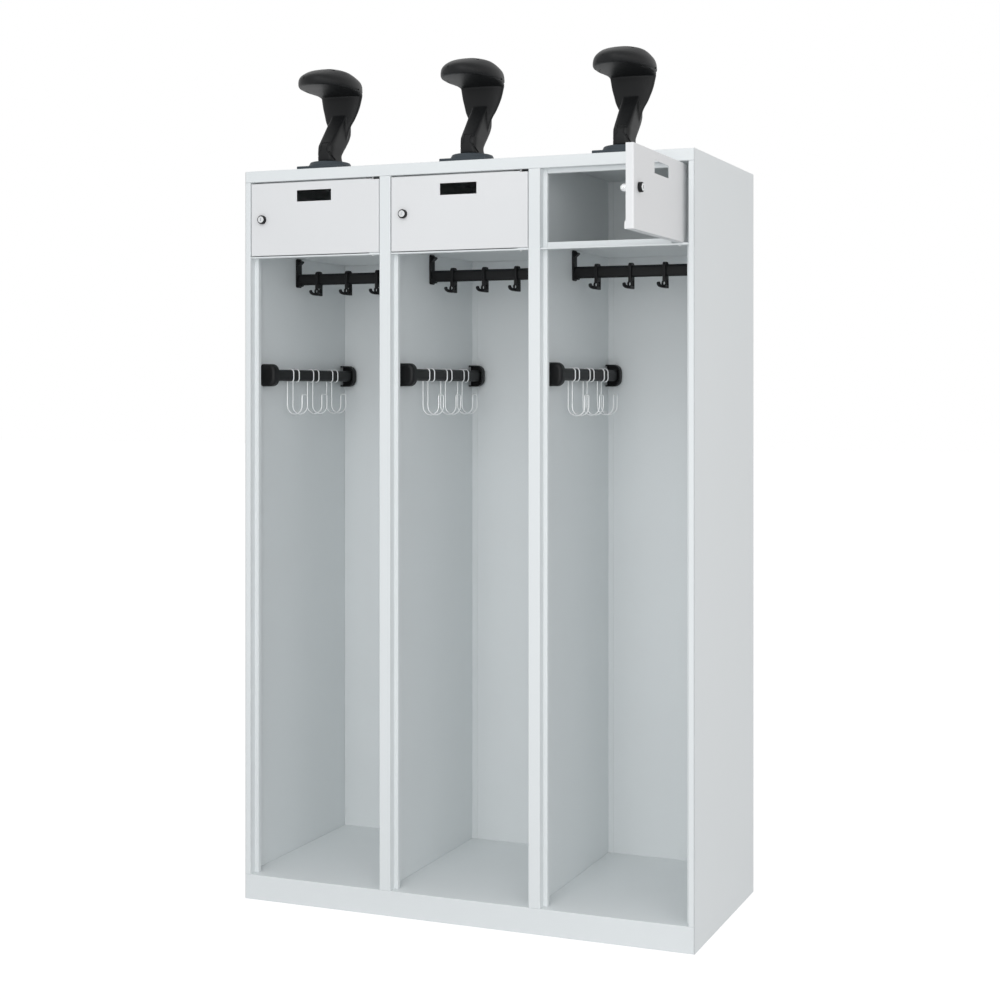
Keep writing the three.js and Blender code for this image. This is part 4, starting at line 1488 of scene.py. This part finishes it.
    def grooves(self, skin: BVHTree, wires: BentWire) -> list[Solid]:
        """Cutters for the stem's seams and latch slots, the head's grooves and its nose hole.

        Args:
            skin: A search tree of the post.
            wires: What bends the wire.

        Returns:
            The cutters.
        """
        stem_front = self.neck_lean * self.front_lean - self.neck_depth / 2
        cutters = []
        for grooves, front, foot in ((self.stem_grooves, stem_front, 0),
                                     (self.head_grooves, 0, self.head_foot)):
            for radius, route in grooves:
                places = [(x, y + front, z + foot) for x, y, z in route]
                cutters += self.lines(skin, places, radius, wires)
        hole = Solid.rod(Axis.Y, self.nose_hole, -self.head_depth, -self.head_depth / 2 + self.nose_depth)
        hole.moved(place_at(self.nose_aside, 0, self.head_foot + self.nose_height))
        return [*cutters, hole]

    def post(self, wires: BentWire) -> Solid:
        """The stem, blade and head as one smooth skin, with the crown's slot, seams and grooves.

        Args:
            wires: What bends the cutters of the grooves.

        Returns:
            The post, drawn above the roof about its stem's middle.
        """
        neck = (self.neck_foot, self.neck_height, self.neck_width, self.neck_depth)
        head = (self.head_foot, self.head_height, self.head_width, self.head_depth)
        stem = Solid.loft(self.rings(self.stem_shares, *neck))
        stem.join(Solid.loft([*self.rings(self.blade_shares, *neck), *self.rings(self.head_shares, *head)]))
        stem.modified("REMESH", mode="VOXEL", voxel_size=self.skin_grid * MM)
        stem.modified("SMOOTH", factor=self.skin_smoothing, iterations=self.skin_rounds)
        work = stem.merged_faces()
        skin = BVHTree.FromBMesh(work)
        work.free()
        wide, deep, down = self.crown_slot
        crown = self.head_foot + self.head_height
        slot = Solid.prism(Axis.Z, rounded_plate(wide, deep, self.crown_slot_corner), crown - down,
                           crown + CASE.overrun)
        slot.moved(place_at(0, -self.crown_slot_lead, 0))
        return stem.cut(slot, *self.grooves(skin, wires)).shaded(self.post_sharp_angle)

    def foot(self) -> Solid:
        """The square plate under a low dome.

        Returns:
            The foot, drawn above the roof about the post's middle.
        """
        side, chamfer = self.plate_side, self.plate_chamfer
        plate = Solid.prism(Axis.Z, rounded_plate(side, side, self.plate_corner), CASE.seat,
                            CASE.seat + self.plate_height)
        plate.soften(chamfer, SHOWN_STEPS, self.plate_edge_angle)
        plate.moved(place_at(0, self.plate_setback + side / 2 - self.post_setback, 0))
        fullness = self.dome_radius - self.dome_top_radius
        foot = CASE.seat + self.plate_height - chamfer
        rows = [(self.dome_top_radius + fullness * out, foot + self.dome_height * up)
                for out, up in self.dome_shares]
        profile = [(0, foot), *smooth_rows(rows, self.dome_row_steps), (0, foot + self.dome_height)]
        return plate.join(Solid.turned(Axis.Z, profile, self.dome_steps)).smooth()

    def build(self, wires: BentWire) -> None:
        """Stands a holder on the roof above each bay.

        Args:
            wires: What bends the cutters of the grooves.
        """
        post, foot = self.post(wires), self.foot()
        for bay in BAYS:
            place = place_at(CASE.middle(bay), self.post_setback, CASE.height)
            post.stand(f"holder_post_{bay}", BLACK_NYLON, place)
            foot.stand(f"holder_foot_{bay}", SLATE_POLYPROPYLENE, place)
        post.drop()
        foot.drop()


@dataclass(frozen=True)
class Lamp:
    """A soft square area lamp.

    Attributes:
        name: The lamp's name.
        place: Where it hangs, in metres.
        aim: What it points at, in metres.
        size: Its side in metres.
        power: Its power in watts.
        colour: The colour of its light.
    """

    name: str
    place: Point
    aim: Point
    size: float
    power: float
    colour: str = WHITE

    def hang(self) -> None:
        """Adds the lamp to the scene."""
        data = bpy.data.lights.new(self.name, "AREA")
        data.shape = "SQUARE"
        data.size = self.size
        data.energy = self.power
        data.color = linear(self.colour)[:3]
        lamp = put(self.name, data)
        lamp.location = self.place
        lamp.rotation_euler = (Vector(self.aim) - Vector(self.place)).to_track_quat("-Z", "Y").to_euler()


@dataclass(frozen=True)
class Studio:
    """The pale floor, the soft light and the camera, which has the photograph's view."""

    eye: Point = (1.7339, -3.5463, 1.2956)
    turn_degrees: float = 20.1806
    lens: float = 58.437
    sensor: float = 36.0
    shift: Span = (-0.12515, -0.11047)
    daylight: float = 0.61
    sky: str = "#fbfdff"
    floor_side: float = 60.0
    floor_glow: float = 0.87
    floor_shade: str = "#8a8b8c"
    floor_matt: str = "#d6d7d8"
    lamps: tuple[Lamp, ...] = (
        Lamp("key", (0.8, -4.9, 1.6), (0.0, 0.3, 1.0), 3.2, 54.0),
        Lamp("fill", (3.7, -3.5, 2.0), (0.0, 0.2, 0.9), 2.4, 34.0),
        Lamp("side", (4.6, -0.6, 2.6), (0.6, 0.25, 1.0), 2.4, 16.0, "#fff1e8"),
        Lamp("top", (0.4, -3.6, 4.2), (0.0, 0.2, 0.3), 2.4, 30.0),
    )

    def camera(self) -> None:
        """Sets the camera at the photograph's view."""
        data = bpy.data.cameras.new("camera")
        data.sensor_fit = "HORIZONTAL"
        data.sensor_width = self.sensor
        data.lens = self.lens
        data.shift_x, data.shift_y = self.shift
        data.clip_end = 2 * self.floor_side
        camera = put("camera", data)
        camera.location = self.eye
        camera.rotation_euler = (math.pi / 2, 0.0, math.radians(self.turn_degrees))
        bpy.context.scene.camera = camera

    def seen_by(self, tree: bpy.types.NodeTree, *rays: str) -> bpy.types.NodeSocket:
        """Tells the camera's rays and other kinds from the light that falls on things.

        Args:
            tree: The node tree.
            rays: The light path's names for the other kinds of ray.

        Returns:
            A socket that gives 1 for these rays and 0 for the rest.
        """
        path = add(tree, "ShaderNodeLightPath").outputs
        seen = path["Is Camera Ray"]
        for ray in rays:
            seen = add(tree, "ShaderNodeMath", {0: seen, 1: path[ray]}, operation="MAXIMUM").outputs[0]
        return seen

    def world(self) -> None:
        """Lights the object from all round, and shows white behind it and in its gloss."""
        world = bpy.data.worlds.new("studio")
        tree = empty_tree(world)
        seen = self.seen_by(tree, "Is Glossy Ray", "Is Transmission Ray")
        light = add(tree, "ShaderNodeBackground", {"Color": linear(self.sky), "Strength": self.daylight})
        back = add(tree, "ShaderNodeBackground", {"Color": linear(WHITE), "Strength": 1.0})
        mix = add(tree, "ShaderNodeMixShader", {0: seen, 1: light.outputs[0], 2: back.outputs[0]})
        add(tree, "ShaderNodeOutputWorld", {"Surface": mix.outputs[0]})
        bpy.context.scene.world = world

    def floor(self) -> None:
        """Lays a floor that is white to the eye and keeps the object's soft shadow."""
        half = self.floor_side / 2
        mesh = bpy.data.meshes.new("floor")
        corners = [(-half, -half, 0), (half, -half, 0), (half, half, 0), (-half, half, 0)]
        mesh.from_pydata(corners, [], [range(len(corners))])
        floor = put("floor", mesh)
        material = bpy.data.materials.new("studio_floor")
        tree = empty_tree(material)
        seen = self.seen_by(tree, "Is Glossy Ray")
        matt = add(tree, "ShaderNodeBsdfDiffuse", {"Color": linear(self.floor_matt)})
        shaded = add(tree, "ShaderNodeBsdfDiffuse", {"Color": linear(self.floor_shade)})
        glow = add(tree, "ShaderNodeEmission", {"Color": linear(WHITE), "Strength": self.floor_glow})
        white = add(tree, "ShaderNodeAddShader", {0: glow.outputs[0], 1: shaded.outputs[0]})
        mix = add(tree, "ShaderNodeMixShader", {0: seen, 1: matt.outputs[0], 2: white.outputs[0]})
        add(tree, "ShaderNodeOutputMaterial", {"Surface": mix.outputs[0]})
        mesh.materials.append(material)

    def build(self) -> None:
        """Sets up the whole studio."""
        self.camera()
        self.world()
        self.floor()
        for lamp in self.lamps:
            lamp.hang()
        bpy.context.scene.view_settings.view_transform = "Standard"


def nodes_of(finish: Finish) -> list[str]:
    """The CAD nodes that the record gives a finish's slot."""
    rows = frame["record"]["subparts"]
    return [row["node"] for row in rows if row["material_slot"] == finish.slot.value]


def main() -> None:
    """Builds every sub-assembly, which reports each piece."""
    logging.basicConfig(level=logging.INFO, format="%(name)s %(message)s")
    Studio().build()
    Carcass().build()
    Door().build()
    CoatRail().build()
    wires = BentWire()
    SideBar().build(wires)
    HelmetHolder().build(wires)


if __name__ == "__main__":
    main()
